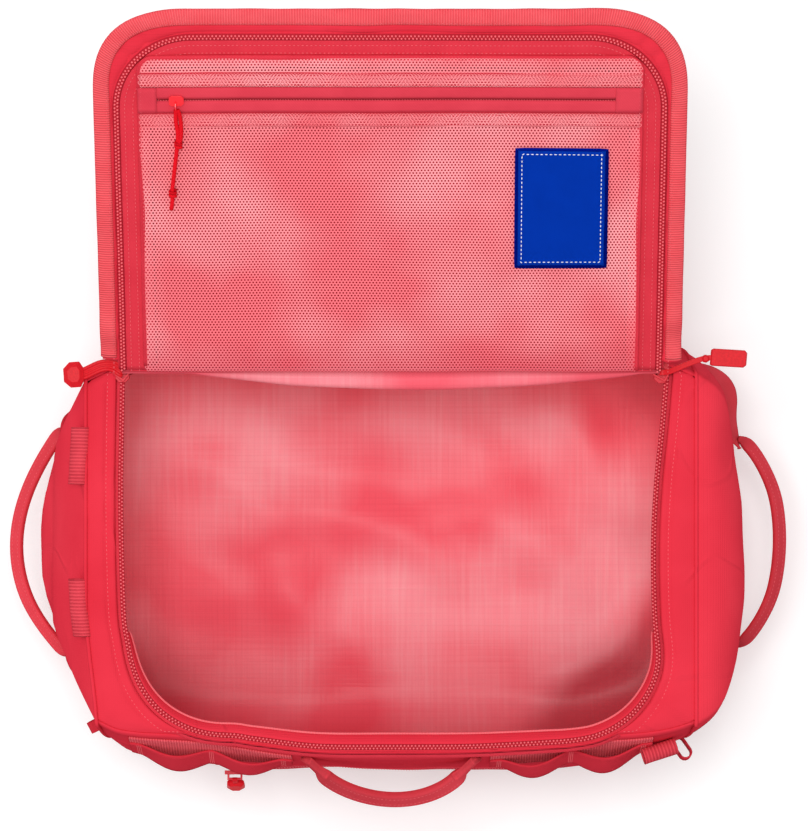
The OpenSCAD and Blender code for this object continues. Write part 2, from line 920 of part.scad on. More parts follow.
module main_pull(length, neck_w, tab, tab_t, bend) {
    main_slider_place()
        translate([0, 0, slider_top + plate_t + main_bail_up])
            pull(length, neck_w, tab, tab_t, bend);
}

module right_slider() {
    color(bright_red) main_slider();
}

module left_slider() {
    color(bright_red) mirror([1, 0, 0]) main_slider();
}

module right_pull() {
    color(bright_red) main_pull(pull_l, 5, bar_tab, 5, pull_bend);
}

module left_pull() {
    color(bright_red) mirror([1, 0, 0]) main_pull(bead_pull_l, 9, bead_tab, 7, bead_pull_bend);
}

// Lid, drawn level with its hinge line at y = 0 and its inside face at z = 0

module lid_place() {
    translate([0, hinge_y, body_h + hinge_up])
        rotate([lid_tilt, 0, 0])
            children();
}

piping_r = 0.9;
lid_start = piping_r + 0.4;
lid_zip_start = 8;

flap_half = lid_w / 2 + flap_side - flap_w;

module lid_outline(out) {
    mirror([0, 1, 0])
        u_area(flap_half, -lid_start, -lid_l, lid_r, -out);
}

module lid_edge_band(d_out, d_in) {
    mirror([0, 1, 0])
        u_band(flap_half, -lid_zip_start, -lid_l, lid_r, d_out, d_in);
}

module lid_u_band(d_out, d_in) {
    mirror([0, 1, 0])
        u_band(lid_w / 2, -lid_zip_start, -lid_l, lid_r, d_out, d_in);
}

module lid_panel() {
    color(red)
        lid_place()
            translate([0, 0, -fabric_t])
                linear_extrude(fabric_t)
                    lid_outline(flap_w);
}

// Binding folded round the edge of the storm flap
module lid_binding() {
    bind_t = 1;
    wrap = 0.8;
    color(light_red)
        lid_place()
            difference() {
                translate([0, 0, -fabric_t - sewn_gap - bind_t])
                    linear_extrude(fabric_t + 2 * sewn_gap + 2 * bind_t)
                        lid_edge_band(-flap_w - sewn_gap - wrap, -flap_w + binding_w);
                translate([0, 0, -fabric_t - sewn_gap])
                    linear_extrude(fabric_t + 2 * sewn_gap)
                        lid_edge_band(-flap_w - sewn_gap, -flap_w + binding_w + 1);
            }
}

module lid_zip_teeth() {
    color(deep_red)
        lid_place()
            translate([0, 0, sewn_gap])
                linear_extrude(teeth_h)
                    mirror([0, 1, 0])
                        u_teeth(
                            lid_w / 2, -lid_zip_start, -lid_l, lid_r,
                            -teeth_w / 2, -teeth_w / 2 + 2, teeth_w / 2
                        );
}

mesh_in = 16;
mesh_w = lid_w / 2 - mesh_in;
mesh_start = 10;
mesh_far = lid_l - mesh_in + 2;
mesh_r = 12;
mesh_t = 0.8;
mesh_low = tape_t + sewn_gap + pocket_depth;
mesh_top = mesh_low + mesh_t;
frame_w = 7;
lining_edge = 0.3;

module lid_zip_tape() {
    color(deep_red)
        lid_place()
            translate([0, 0, sewn_gap])
                linear_extrude(tape_t)
                    lid_u_band(teeth_w / 2 + sewn_gap, mesh_in + frame_w + 1);
}

// Mesh panel outline between two distances from the hinge
module mesh_area(from, to, in) {
    w = mesh_w - in;
    top = min(to, mesh_far - in);
    r = to >= mesh_far - in ? mesh_r - in / 2 : 0.01;
    if (r > 1) {
        translate([-w, from]) square([2 * w, top - r - from]);
        translate([-w + r, from]) square([2 * (w - r), top - from]);
        for (side = [-1, 1])
            translate([side * (w - r), top - r]) circle(r);
    } else {
        translate([-w, from]) square([2 * w, top - from]);
    }
}

module lid_lining() {
    color(pink)
        lid_place()
            translate([0, 0, sewn_gap])
                linear_extrude(lining_t)
                    mirror([0, 1, 0])
                        u_area(
                            lid_w / 2, -lid_zip_start, -lid_l, lid_r,
                            mesh_in + frame_w + 1 + lining_edge
                        );
}

// Folded edge that carries the mesh all round and gives the pocket its depth
module mesh_edge() {
    color(light_red)
        lid_place()
            translate([0, 0, sewn_gap + tape_t])
                linear_extrude(mesh_low - tape_t - sewn_gap)
                    difference() {
                        mesh_area(mesh_start, lid_l, 0);
                        mesh_area(mesh_start - 1, lid_l, frame_w);
                    }
}

zip_slot = 1.2;
pocket_low = pocket_v - pocket_tape_w / 2;
pocket_high = pocket_v + pocket_tape_w / 2;

module mesh_upper() {
    color(pink)
        lid_place()
            translate([0, 0, mesh_low])
                linear_extrude(mesh_t)
                    mesh_area(pocket_high + sewn_gap, lid_l, 0);
}

module mesh_lower() {
    color(pink)
        lid_place()
            translate([0, 0, mesh_low])
                linear_extrude(mesh_t)
                    mesh_area(mesh_start, pocket_low - sewn_gap, 0);
}

module mesh_zip_trim() {
    trim_w = 9;
    trim_t = 0.6;
    color(light_red)
        lid_place()
            for (v = [pocket_low - sewn_gap - trim_w, pocket_high + sewn_gap])
                translate([-mesh_w, v, mesh_top])
                    cube([2 * mesh_w, trim_w, trim_t]);
}

module pocket_tape() {
    half_w = pocket_tape_w / 2 - zip_slot / 2;
    color(deep_red)
        lid_place()
            for (v = [pocket_low, pocket_v + zip_slot / 2])
                translate([-mesh_w, v, mesh_low])
                    cube([2 * mesh_w, half_w, 1]);
}

pocket_teeth_w = 1.8;
pocket_teeth_h = 1.4;

// Coils under the tapes, so that only a thin line shows between the tapes
module pocket_teeth() {
    color(deep_red)
        lid_place()
            for (v = [pocket_v - zip_slot / 2 - pocket_teeth_w, pocket_v + zip_slot / 2])
                translate([-mesh_w + frame_w + 1, v, mesh_low - pocket_teeth_h])
                    cube([2 * (mesh_w - frame_w - 1), pocket_teeth_w, pocket_teeth_h]);
}

patch_w = [14, 20];
patch_t = 0.8;

module pocket_end_patches() {
    patch_z = mesh_low + 1;
    color(deep_red)
        lid_place() {
            translate([-mesh_w, pocket_low, patch_z])
                cube([patch_w[0], pocket_tape_w, patch_t]);
            translate([mesh_w - patch_w[1], pocket_low, patch_z])
                cube([patch_w[1], pocket_tape_w, patch_t]);
        }
}

label_at = [127, pocket_v - 88];

module label_patch() {
    color(blue)
        lid_place()
            translate([label_at[0] - label_size[0] / 2, label_at[1] - label_size[1] / 2, mesh_top])
                cube([label_size[0], label_size[1], patch_t]);
}

pocket_rest_x = -mesh_w + patch_w[0] + 14;
pocket_plate_z = mesh_low + 1 + clear_gap;
pocket_bail_up = 1.6;

// Slider of the mesh pocket: a plate above and below the tapes and a thin neck in the slot
module pocket_slider() {
    length = 15;
    half_w = 4.4;
    neck_t = zip_slot - 2 * clear_gap;
    neck_l = 8;
    under_t = 0.9;
    under = mesh_low - pocket_teeth_h - clear_gap;
    plate = 1.3;
    color(bright_red)
        lid_place()
            translate([pocket_rest_x, pocket_v, 0]) {
                translate([-length / 2, -half_w, pocket_plate_z])
                    cube([length, 2 * half_w, plate]);
                translate([-length / 2, -3, under - under_t])
                    cube([length, 6, under_t]);
                translate([-neck_l / 2, -neck_t / 2, under - under_t])
                    cube([neck_l, neck_t, pocket_plate_z + plate - under + under_t]);
                translate([0, 0, pocket_plate_z + plate + pocket_bail_up])
                    rotate([0, 0, 90])
                        bail(pocket_bail_up + plate / 2);
            }
}

// Thin cord tied to the pocket slider. Points are across, from the slider, and above the
// lid's inside face.
cord_d = 2.4;
cord_route = [
    [0, -5.8, 9.3], [0, -10, 8.4], [0, -16, 8], [1, -24, 8], [1, -32, 8], [0, -40, 8],
    [-1, -48, 8], [-2, -56, 8], [-3, -64, 8], [-4, -72, 8], [-4, -80, 8], [-5, -88, 8]
];

module pocket_cord() {
    sides = 8;
    last = len(cord_route) - 1;
    function way(i) =
        let (d = cord_route[min(i + 1, last)] - cord_route[max(i - 1, 0)]) d / norm(d);
    function ring(i) =
        let (t = way(i), side = cross(t, [0, 0, 1]), u = side / norm(side), w = cross(u, t))
            [
                for (k = [0:sides - 1])
                    let (a = 360 * k / sides)
                        cord_route[i] + (u * cos(a) + w * sin(a)) * cord_d / 2
            ];
    function v(i, k) = i * sides + k % sides;
    color(bright_red)
        lid_place()
            translate([pocket_rest_x, pocket_v, 0])
                polyhedron(
                    points = [for (i = [0:last]) each ring(i)],
                    faces = [
                        for (i = [0:last - 1], k = [0:sides - 1])
                            each quad(v(i, k), v(i, k + 1), v(i + 1, k + 1), v(i + 1, k)),
                        for (k = [1:sides - 2]) [v(0, 0), v(0, k + 1), v(0, k)],
                        for (k = [1:sides - 2]) [v(last, 0), v(last, k), v(last, k + 1)]
                    ]
                );
}

base_panel();
base_pad();
front_panel();
back_panel();
left_end_panel();
right_end_panel();
top_frame();
hinge_strip();
lining();
body_zip_tape();
body_zip_teeth();
front_webbing();
back_webbing();
front_lash_loops();
back_lash_loops();
front_handle_tabs();
back_handle_tabs();
left_end_straps();
right_end_straps();
left_strap_sleeves();
front_strap_sleeve();
corner_loops();
front_pocket_tape();
front_pocket_teeth();
lid_panel();
lid_binding();
lid_lining();
lid_zip_tape();
lid_zip_teeth();
mesh_edge();
mesh_upper();
mesh_lower();
mesh_zip_trim();
pocket_tape();
pocket_teeth();
pocket_end_patches();
label_patch();
left_slider();
left_pull();
right_slider();
right_pull();
pocket_slider();
pocket_cord();
front_slider();
front_pull();
front_handle();
back_handle();
left_handle();
right_handle();
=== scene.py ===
"""A soft duffel bag with its zip lid folded back, seen from straight above."""

import json
import math

import bmesh
import bpy
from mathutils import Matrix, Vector, noise


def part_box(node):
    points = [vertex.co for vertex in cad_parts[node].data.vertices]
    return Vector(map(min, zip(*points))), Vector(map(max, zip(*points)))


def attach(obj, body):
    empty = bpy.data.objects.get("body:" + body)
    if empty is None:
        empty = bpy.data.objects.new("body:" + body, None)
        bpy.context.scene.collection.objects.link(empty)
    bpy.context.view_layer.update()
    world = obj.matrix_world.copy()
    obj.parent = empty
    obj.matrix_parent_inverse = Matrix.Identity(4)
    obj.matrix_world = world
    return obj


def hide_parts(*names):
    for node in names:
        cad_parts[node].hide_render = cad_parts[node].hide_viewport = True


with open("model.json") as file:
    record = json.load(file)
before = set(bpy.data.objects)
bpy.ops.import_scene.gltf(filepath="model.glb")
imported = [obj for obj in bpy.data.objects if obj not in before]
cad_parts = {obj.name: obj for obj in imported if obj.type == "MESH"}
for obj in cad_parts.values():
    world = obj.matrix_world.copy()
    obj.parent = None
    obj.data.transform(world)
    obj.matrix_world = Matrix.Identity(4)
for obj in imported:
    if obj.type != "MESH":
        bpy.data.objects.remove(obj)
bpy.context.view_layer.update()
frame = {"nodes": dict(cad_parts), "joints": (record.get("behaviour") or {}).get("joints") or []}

# Camera and studio
# The bag stands on a pale floor and is looked at from straight above, as on a
# copy stand. A broad soft lamp hangs over it and the white room fills in.
MM = 0.001
PHOTO_H = 831
RIM_MM_PER_PIXEL = 0.77
CAMERA_OVER_RIM = 2.4
VIEW_MIDDLE = (0.010, 0.103)
FLOOR_HALF = 9
rim_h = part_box("top_frame")[1].z / MM

camera_data = bpy.data.cameras.new("camera")
camera_data.sensor_width = 36
view_half = PHOTO_H * RIM_MM_PER_PIXEL * MM / 2
camera_data.lens = camera_data.sensor_width / 2 * CAMERA_OVER_RIM / view_half
camera_data.clip_end = 20
camera = bpy.data.objects.new("camera", camera_data)
camera.location = (*VIEW_MIDDLE, rim_h * MM + CAMERA_OVER_RIM)
bpy.context.scene.collection.objects.link(camera)
bpy.context.scene.camera = camera
bpy.context.scene.view_settings.view_transform = "Standard"


def add_node(tree, kind, links=None, **settings):
    """A shader or geometry node with its properties set and its inputs linked or filled."""
    made = tree.nodes.new(kind)
    for key, value in settings.items():
        setattr(made, key, value)
    for key, value in (links or {}).items():
        if isinstance(value, bpy.types.NodeSocket):
            tree.links.new(value, made.inputs[key])
        else:
            made.inputs[key].default_value = value
    return made


def maths(tree, operation, *values):
    """The output of a sum whose inputs are sockets or plain numbers."""
    return add_node(
        tree, "ShaderNodeMath", dict(enumerate(values)), operation=operation
    ).outputs[0]


def blend_colours(tree, factor, first, second):
    return add_node(
        tree, "ShaderNodeMix", {0: factor, 6: first, 7: second}, data_type="RGBA"
    ).outputs[2]


def seen_directly(tree):
    """1 for rays that show the backdrop to the eye, straight or in a reflection."""
    path = add_node(tree, "ShaderNodeLightPath").outputs
    first = maths(tree, "MAXIMUM", path["Is Camera Ray"], path["Is Glossy Ray"])
    return maths(tree, "MAXIMUM", first, path["Is Transmission Ray"])


world = bpy.data.worlds.new("white_room")
bpy.context.scene.world = world
world.use_nodes = True
room = world.node_tree
room.nodes.clear()
fill_light = add_node(room, "ShaderNodeBackground", {"Color": (1, 1, 1, 1), "Strength": 0.62})
add_node(room, "ShaderNodeOutputWorld", {"Surface": fill_light.outputs[0]})


def soft_lamp(name, place, aim, size, watts):
    data = bpy.data.lights.new(name, "AREA")
    data.shape = "SQUARE"
    data.size = size
    data.energy = watts
    lamp = bpy.data.objects.new(name, data)
    lamp.location = place
    lamp.rotation_euler = (Vector(aim) - Vector(place)).to_track_quat("-Z", "Y").to_euler()
    lamp.visible_camera = False
    bpy.context.scene.collection.objects.link(lamp)


soft_lamp("overhead_lamp", (-0.1, 0.26, 2.9), (0, 0, 0.1), 0.75, 39)
soft_lamp("side_lamp", (-1.6, 0.4, 1.9), (0, 0, 0.2), 1.2, 6)

floor_mesh = bpy.data.meshes.new("floor")
floor_mesh.from_pydata(
    [(x * FLOOR_HALF, y * FLOOR_HALF, 0) for x, y in ((-1, -1), (1, -1), (1, 1), (-1, 1))],
    [], [(0, 1, 2, 3)],
)
floor = bpy.data.objects.new("floor", floor_mesh)
bpy.context.scene.collection.objects.link(floor)
paper = bpy.data.materials.new("pale_paper")
paper.use_nodes = True
paper_tree = paper.node_tree
paper_tree.nodes.clear()
paper_tone = blend_colours(
    paper_tree, seen_directly(paper_tree), (0.56, 0.60, 0.60, 1), (0.84, 0.86, 0.86, 1)
)
paper_matt = add_node(paper_tree, "ShaderNodeBsdfDiffuse", {"Color": paper_tone})
paper_glow = add_node(
    paper_tree, "ShaderNodeEmission", {"Color": (1, 1, 1, 1), "Strength": seen_directly(paper_tree)}
)
paper_dim = add_node(paper_tree, "ShaderNodeBsdfDiffuse", {"Color": (0, 0, 0, 1)})
paper_half = add_node(
    paper_tree, "ShaderNodeMixShader", {0: 0.24, 1: paper_dim.outputs[0], 2: paper_glow.outputs[0]}
)
paper_sum = add_node(
    paper_tree, "ShaderNodeAddShader", {0: paper_matt.outputs[0], 1: paper_half.outputs[0]}
)
add_node(paper_tree, "ShaderNodeOutputMaterial", {"Surface": paper_sum.outputs[0]})
floor_mesh.materials.append(paper)

# Pocket cord
# A thin braided cord tied through the mesh pocket's slider: doubled at the top,
# knotted, then one run with a second knot and a short tail. It lies on the mesh.
joint_at = {j["name"]: Vector(j["pos_m"]) / MM for j in frame["joints"]}
hinge_y, hinge_z = joint_at["lid_fold"].y, joint_at["lid_fold"].z
LID_TILT = math.radians(30)
LID_LENGTH = 275
LID_HALF = 202
LID_SAG, LID_CRUMPLE = 3.5, 2.2


def smooth_step(low, high, value):
    t = min(max((value - low) / (high - low), 0), 1)
    return t * t * (3 - 2 * t)


def lid_wave(x, v):
    """How far the soft lid stands off a flat plate, up from its inside face."""
    sag = LID_SAG * math.sin(math.pi * min(max(v / 300, 0), 1)) * math.cos(math.pi * x / 520)
    crumple = LID_CRUMPLE * noise.noise(Vector((x / 120, v / 95, 3.7)))
    return (crumple - sag) * smooth_step(0, 60, v)


def lid_point(point):
    """From across, along and above the lid's inside to the standing bag's own frame."""
    x, v, w = point
    w += lid_wave(x, v)
    x *= 1.012 - 0.028 * v / LID_LENGTH
    return Vector((
        x,
        hinge_y + v * math.cos(LID_TILT) - w * math.sin(LID_TILT),
        hinge_z + v * math.sin(LID_TILT) + w * math.cos(LID_TILT),
    ))


def colour(code):
    """A web colour as linear light."""
    parts = [int(code[i:i + 2], 16) / 255 for i in (1, 3, 5)]
    return tuple(p / 12.92 if p < 0.04045 else ((p + 0.055) / 1.055) ** 2.4 for p in parts) + (1,)


def new_material(name, roughness, gloss=0.0):
    made = bpy.data.materials.new(name)
    made.use_nodes = True
    tree = made.node_tree
    tree.nodes.clear()
    shader = add_node(
        tree, "ShaderNodeBsdfPrincipled",
        {"Roughness": roughness, "Specular IOR Level": gloss},
    )
    add_node(tree, "ShaderNodeOutputMaterial", {"Surface": shader.outputs[0]})
    return made, tree, shader


def ripple(tree, coordinate, pitch):
    """A sine along one coordinate, with its pitch in metres."""
    return maths(tree, "SINE", maths(tree, "MULTIPLY", coordinate, 2 * math.pi / pitch))


def map_range(tree, value, low, high, to_low=0.0, to_high=1.0):
    return add_node(
        tree, "ShaderNodeMapRange",
        {0: value, 1: low, 2: high, 3: to_low, 4: to_high},
    ).outputs[0]


def raise_surface(tree, shader, height, depth):
    bump = add_node(tree, "ShaderNodeBump", {"Height": height, "Distance": depth, "Strength": 1.0})
    tree.links.new(bump.outputs[0], shader.inputs["Normal"])


def paint_between(tree, shader, value, low, high, first, second):
    """Colours a material from one web colour to another as a value rises."""
    share = map_range(tree, value, low, high)
    tree.links.new(
        blend_colours(tree, share, colour(first), colour(second)), shader.inputs["Base Color"]
    )


def strip_axes(tree):
    """Across and along a strip, on its own UV map."""
    uv = add_node(tree, "ShaderNodeUVMap")
    return add_node(tree, "ShaderNodeSeparateXYZ", {0: uv.outputs[0]}).outputs


def braid(name, base, shade, strand):
    """Diagonal strands both ways along a cord."""
    made, tree, shader = new_material(name, 0.6)
    axes = strip_axes(tree)
    height = maths(tree, "MAXIMUM", *(
        ripple(tree, maths(tree, way, axes[0], axes[1]), strand) for way in ("ADD", "SUBTRACT")
    ))
    paint_between(tree, shader, height, -0.6, 0.8, shade, base)
    raise_surface(tree, shader, height, 0.0002)
    return made


def askew(point):
    """The bag isn't filled evenly: its left front corner is drawn in, and its right end at
    both roots of the handle."""
    x, y, z = point
    left = 9 * smooth_step(205, 236, -x) * smooth_step(40, 150, -y)
    front_root = 5 * smooth_step(35, 95, -y) - 8 * smooth_step(112, 150, -y)
    back_root = 3 * smooth_step(30, 80, y) - 8 * smooth_step(95, 128, y)
    right = (5 + front_root + back_root) * smooth_step(238, 288, x)
    return Vector((x + left - right, y, z))


def piece(name, points, faces, material, uvs=None, towards=None):
    """A finished object from points in millimetres. An open sheet turns its faces towards a
    direction, and a closed body has its faces turned outwards."""
    mesh = bpy.data.meshes.new(name)
    mesh.from_pydata([askew(p) * MM for p in points], [], faces)
    if uvs:
        layer = mesh.uv_layers.new(name="UVMap")
        for loop_index, uv in enumerate(uvs):
            layer.data[loop_index].uv = uv
    if towards is None:
        work = bmesh.new()
        work.from_mesh(mesh)
        bmesh.ops.recalc_face_normals(work, faces=work.faces)
        work.to_mesh(mesh)
        work.free()
    else:
        facing = sum((p.normal.dot(Vector(towards)) * p.area for p in mesh.polygons), 0.0)
        if facing < 0:
            mesh.flip_normals()
    mesh.materials.append(material)
    mesh.polygons.foreach_set("use_smooth", [True] * len(mesh.polygons))
    made = bpy.data.objects.new(name, mesh)
    bpy.context.scene.collection.objects.link(made)
    return made


def grid(rows, wrap, caps=False, even=False):
    """Faces and UVs in metres for rows of points. A wrapped grid joins each row's two ends, and
    an even one measures its length along the middle of the rows only."""
    n, m = len(rows), len(rows[0])
    across = m if wrap else m - 1
    u = [[0.0] for _ in rows]
    v = [[0.0] * (across + 1) for _ in rows]
    for i in range(n):
        for j in range(across):
            step = (Vector(rows[i][(j + 1) % m]) - Vector(rows[i][j])).length
            u[i].append(u[i][-1] + step * MM)
    for i in range(1, n):
        for j in range(across + 1):
            step = (Vector(rows[i][j % m]) - Vector(rows[i - 1][j % m])).length
            v[i][j] = v[i - 1][j] + step * MM
    if even:
        v = [[row[across // 2]] * (across + 1) for row in v]
    faces, uvs = [], []
    for i in range(n - 1):
        for j in range(across):
            corners = ((i, j), (i, j + 1), (i + 1, j + 1), (i + 1, j))
            faces.append([a * m + b % m for a, b in corners])
            uvs += [(u[a][b], v[a][b]) for a, b in corners]
    if caps:
        for row in (0, n - 1):
            faces.append([row * m + j for j in range(m)])
            uvs += [(u[row][j], v[row][j]) for j in range(m)]
    return [p for row in rows for p in row], faces, uvs


def sewn_sheet(name, rows, material, towards, thick=0.0, wrap=False, even=False):
    points, faces, uvs = grid(rows, wrap, even=even)
    made = piece(name, points, faces, material, uvs, towards)
    if thick:
        solid = made.modifiers.new("cloth_thickness", "SOLIDIFY")
        solid.thickness = thick * MM
        solid.offset = -1
    return made


def swept(path, section, up, closed=False):
    """Rows for a section carried along a path. The section's first axis lies across the path
    and its second along the up direction, which may change along the path."""
    rows = []
    last = len(path) - 1
    for i, p in enumerate(path):
        before = path[i - 1] if i or closed else path[0]
        after = path[(i + 1) % len(path)] if i < last or closed else path[last]
        way = (Vector(after) - Vector(before)).normalized()
        lift = Vector(up[i] if isinstance(up, list) else up)
        side = way.cross(lift).normalized()
        lift = side.cross(way).normalized()
        rows.append([Vector(p) + side * a + lift * b for a, b in section])
    return rows


def tube(name, rows, material):
    """A closed body from rows round it, with both ends capped."""
    points, faces, uvs = grid(rows, wrap=True, caps=True)
    return piece(name, points, faces, material, uvs)


def swept_piece(name, path, section, up, material, closed=False, place=None):
    rows = swept(path, section, up, closed)
    if place:
        rows = [[place(p) for p in row] for row in rows]
    if not closed:
        return tube(name, rows, material)
    points, faces, uvs = grid(rows + rows[:1], wrap=True)
    made = piece(name, points, faces, material, uvs)
    work = bmesh.new()
    work.from_mesh(made.data)
    bmesh.ops.remove_doubles(work, verts=work.verts, dist=0.00001)
    bmesh.ops.recalc_face_normals(work, faces=work.faces)
    work.to_mesh(made.data)
    work.free()
    return made


def round_section(half_w, half_h, sides=12):
    return [
        (half_w * math.cos(2 * math.pi * k / sides), half_h * math.sin(2 * math.pi * k / sides))
        for k in range(sides)
    ]


def smooth_path(points, per_span):
    """A rounded line through points, as Catmull-Rom."""
    points = [Vector(p) for p in points]
    ends = [points[0] * 2 - points[1], *points, points[-1] * 2 - points[-2]]
    line = []
    for a, b, c, d in zip(ends, ends[1:], ends[2:], ends[3:]):
        for k in range(per_span):
            t = k / per_span
            line.append(0.5 * (
                2 * b + (c - a) * t + (2 * a - 5 * b + 4 * c - d) * t * t
                + (3 * b - a - 3 * c + d) * t ** 3
            ))
    return line + [points[-1]]


def fitted(made, body, slot_name, *nodes):
    """Fixes a piece to its body and hides the solids that it stands for. The slot's name is not
    used.
    """
    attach(made, body)
    if nodes:
        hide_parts(*nodes)
    return made


CORD_D = 3.0
pocket_rest = joint_at["pocket_zip"].x
POCKET_V = 227
cord_route = [
    (0, -5.8, 9.3), (0, -10, 8.4), (0, -16, 8), (1, -24, 8), (1, -32, 8), (0, -40, 8),
    (-1, -48, 8), (-2, -56, 8), (-3, -64, 8), (-4, -72, 8), (-4, -80, 8), (-5, -88, 8),
]
second_route = [
    (1.5, -5.8, 9.3), (2.8, -10, 8.6), (3.6, -18, 8.2), (3.6, -26, 8), (2.8, -31, 8),
    (1.6, -34, 8.4),
]
cord_line = smooth_path(cord_route, 3)
cord_red = braid("red_cord", "#FF1E2C", "#D2121F", 0.0013)


def lay_cord(p):
    return lid_point((pocket_rest + p[0], POCKET_V + p[1], p[2]))


def cord_piece(name, line, thick=CORD_D, sides=12, up=(0, 0, 1)):
    section = round_section(thick / 2, thick / 2, sides)
    made = swept_piece(name, line, section, up, cord_red, place=lay_cord)
    return fitted(made, "pocket_slider", "cord")


def knot_line(at, turns, size):
    """A cord wound on itself: a short overhand knot about a place on the run."""
    per_turn, long = 14, 5.0
    steps = per_turn * turns
    line = []
    for k in range(steps + 1):
        a = 2 * math.pi * k / per_turn
        line.append((
            at[0] + size * 0.9 * math.cos(a),
            at[1] + long * (k / steps - 0.5),
            at[2] + size * 0.7 * math.sin(a),
        ))
    return line


cord_run = cord_piece("pocket_cord_run", cord_line)
cord_loop = cord_piece("pocket_cord_loop", smooth_path(second_route, 4))
cord_knots = [
    cord_piece(f"pocket_cord_knot_{i}", knot_line(at, 2, 2.3), 2.5, 8, (0.02, 1, 0.03))
    for i, at in enumerate([(1.4, -34, 8.2), (-3.6, -74, 8.2)])
]
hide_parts("pocket_cord")
cord_world = [lay_cord(p) * MM for p in cord_line]

# Body panels
# Front, back, base and end panels of coated tarpaulin, sewn inside out and turned.
# The cloth is slack between its seams, so it swells, dimples and pulls in at them.
SHELL_T = 1.6
half_d = -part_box("front_panel")[0].y / MM
seam_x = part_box("top_frame")[1].x / MM
half_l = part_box("right_end_panel")[1].x / MM
RIM_HALF = 155
RIM_R = 5
BULGE_Z = 120
base_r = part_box("base_panel")[1].z / MM
wall_top = rim_h - 2 * RIM_R
wall_k = (half_d - RIM_HALF - RIM_R) / (wall_top - BULGE_Z) ** 2
MID_Z = rim_h / 2
END_FULLNESS = {-1: 1.6, 1: 6.0}
WALL_SLACK, WALL_SEED = 4.0, 5.0
SEAM_TUCK = 2.0
PANEL_STEPS = 84


def plan(x):
    """Narrowing of the bag towards its ends, seen from above."""
    return (1 - min(abs(x) / half_l, 1) ** 4) ** 0.25


def wall(z):
    """Half depth of the bag at a height."""
    return half_d - wall_k * (z - BULGE_Z) ** 2


def front_edge(x):
    """How far the top of the front stands out of true: out in the middle, in at both sides."""
    dips = ((-152, 8), (152, 7.5))
    return 4 * math.exp(-(x / 90) ** 2) - sum(
        deep * math.exp(-((x - middle) / 58) ** 2) for middle, deep in dips
    )


def front_drop(x):
    """How far the rim slopes down to the front wall."""
    return 6 * (1 - smooth_step(120, 215, abs(x)))


def back_pinch(x, y, z):
    """The left back corner is drawn in under the lid, more below its rim than at it."""
    below = smooth_step(base_r, 105, z) * (1 - 0.8 * smooth_step(215, 265, z))
    return 24 * smooth_step(192, 240, -x) * smooth_step(95, 150, y) * below


def right_taper(y):
    """The right end is flatter towards the back."""
    return 8 * smooth_step(10, 95, y)


def slack(p, reach, seed):
    """Swells and dimples of loose cloth, in millimetres."""
    broad = noise.noise(Vector(p) / 95 + Vector((seed, 0, 0)))
    small = noise.noise(Vector(p) / 38 + Vector((0, seed, 0)))
    return reach * (broad + 0.35 * small)


def on_object(tree):
    return add_node(tree, "ShaderNodeTexCoord").outputs["Object"]


def cloudy(tree, scale, detail, **more):
    """Noise that is fixed to the cloth, between 0 and 1."""
    return add_node(
        tree, "ShaderNodeTexNoise",
        {"Vector": on_object(tree), "Scale": scale, "Detail": detail, **more},
    ).outputs[0]


def tarpaulin(name, base, shade):
    """Smooth coated cloth: faint scrim under the coat, soft mottling, a satin shine and
    shallow creases here and there."""
    made, tree, shader = new_material(name, 0.48)
    mottle = cloudy(tree, 14.0, 3.0)
    paint_between(tree, shader, mottle, 0.3, 0.7, shade, base)
    axes = add_node(tree, "ShaderNodeSeparateXYZ", {0: on_object(tree)}).outputs
    threads = [ripple(tree, axes[axis], 0.0016) for axis in range(3)]
    scrim = maths(tree, "ADD", maths(tree, "ADD", *threads[:2]), threads[2])
    grain = maths(tree, "MULTIPLY_ADD", cloudy(tree, 900.0, 2.0), 3.0, scrim)
    raise_surface(tree, shader, grain, 0.00003)
    bends = maths(tree, "SUBTRACT", cloudy(tree, 8.0, 1.0, Distortion=0.7), 0.5)
    lines = map_range(tree, maths(tree, "ABSOLUTE", bends), 0.0, 0.022, 1.0, 0.0)
    creased = add_node(
        tree, "ShaderNodeBump",
        {"Height": maths(tree, "MULTIPLY", lines, map_range(tree, mottle, 0.46, 0.56)),
         "Distance": 0.0009, "Strength": 0.8,
         "Normal": shader.inputs["Normal"].links[0].from_socket},
    )
    tree.links.new(creased.outputs[0], shader.inputs["Normal"])
    gloss = map_range(tree, mottle, 0.3, 0.7, 0.5, 0.38)
    tree.links.new(gloss, shader.inputs["Roughness"])
    return made


shell_red = tarpaulin("red_tarpaulin", "#E03647", "#D52E3E")


def wall_place(x, z, out, side, half=None, tuck=0.0):
    """A place on the front (side -1) or back (1) wall, stood off it. The bag's half depth
    there is the wall's own unless it is given."""
    y = side * (wall(z) if half is None else half) * plan(x)
    calm = smooth_step(0, 45, seam_x - abs(x)) * smooth_step(0, 35, z - base_r)
    calm *= smooth_step(0, 70, rim_h - z)
    y += side * slack((x, y, z), WALL_SLACK, WALL_SEED) * calm - side * tuck
    lower = 0.0
    if side < 0:
        y -= front_edge(x) * smooth_step(232, 274, z)
        lower = front_drop(x) * smooth_step(225, rim_h, z)
    return Vector((x, y + side * out - back_pinch(x, y, z), z - lower))


def side_rows(side):
    """Front or back panel from the rim's soft edge down to the base seam."""
    profile, down = [], 34
    for a in range(90, 0, -15):
        turn = math.radians(a)
        profile.append((RIM_HALF + RIM_R * math.cos(turn), wall_top + 2 * RIM_R * math.sin(turn)))
    for j in range(down + 1):
        z = wall_top + (base_r - wall_top) * j / down
        profile.append((wall(z), z))
    rows = []
    for i in range(PANEL_STEPS + 1):
        x = -seam_x + 2 * seam_x * i / PANEL_STEPS
        rows.append([
            wall_place(x, z, 0, side, half, SEAM_TUCK * (1 - smooth_step(0, 9, z - base_r)))
            for half, z in profile
        ])
    return rows


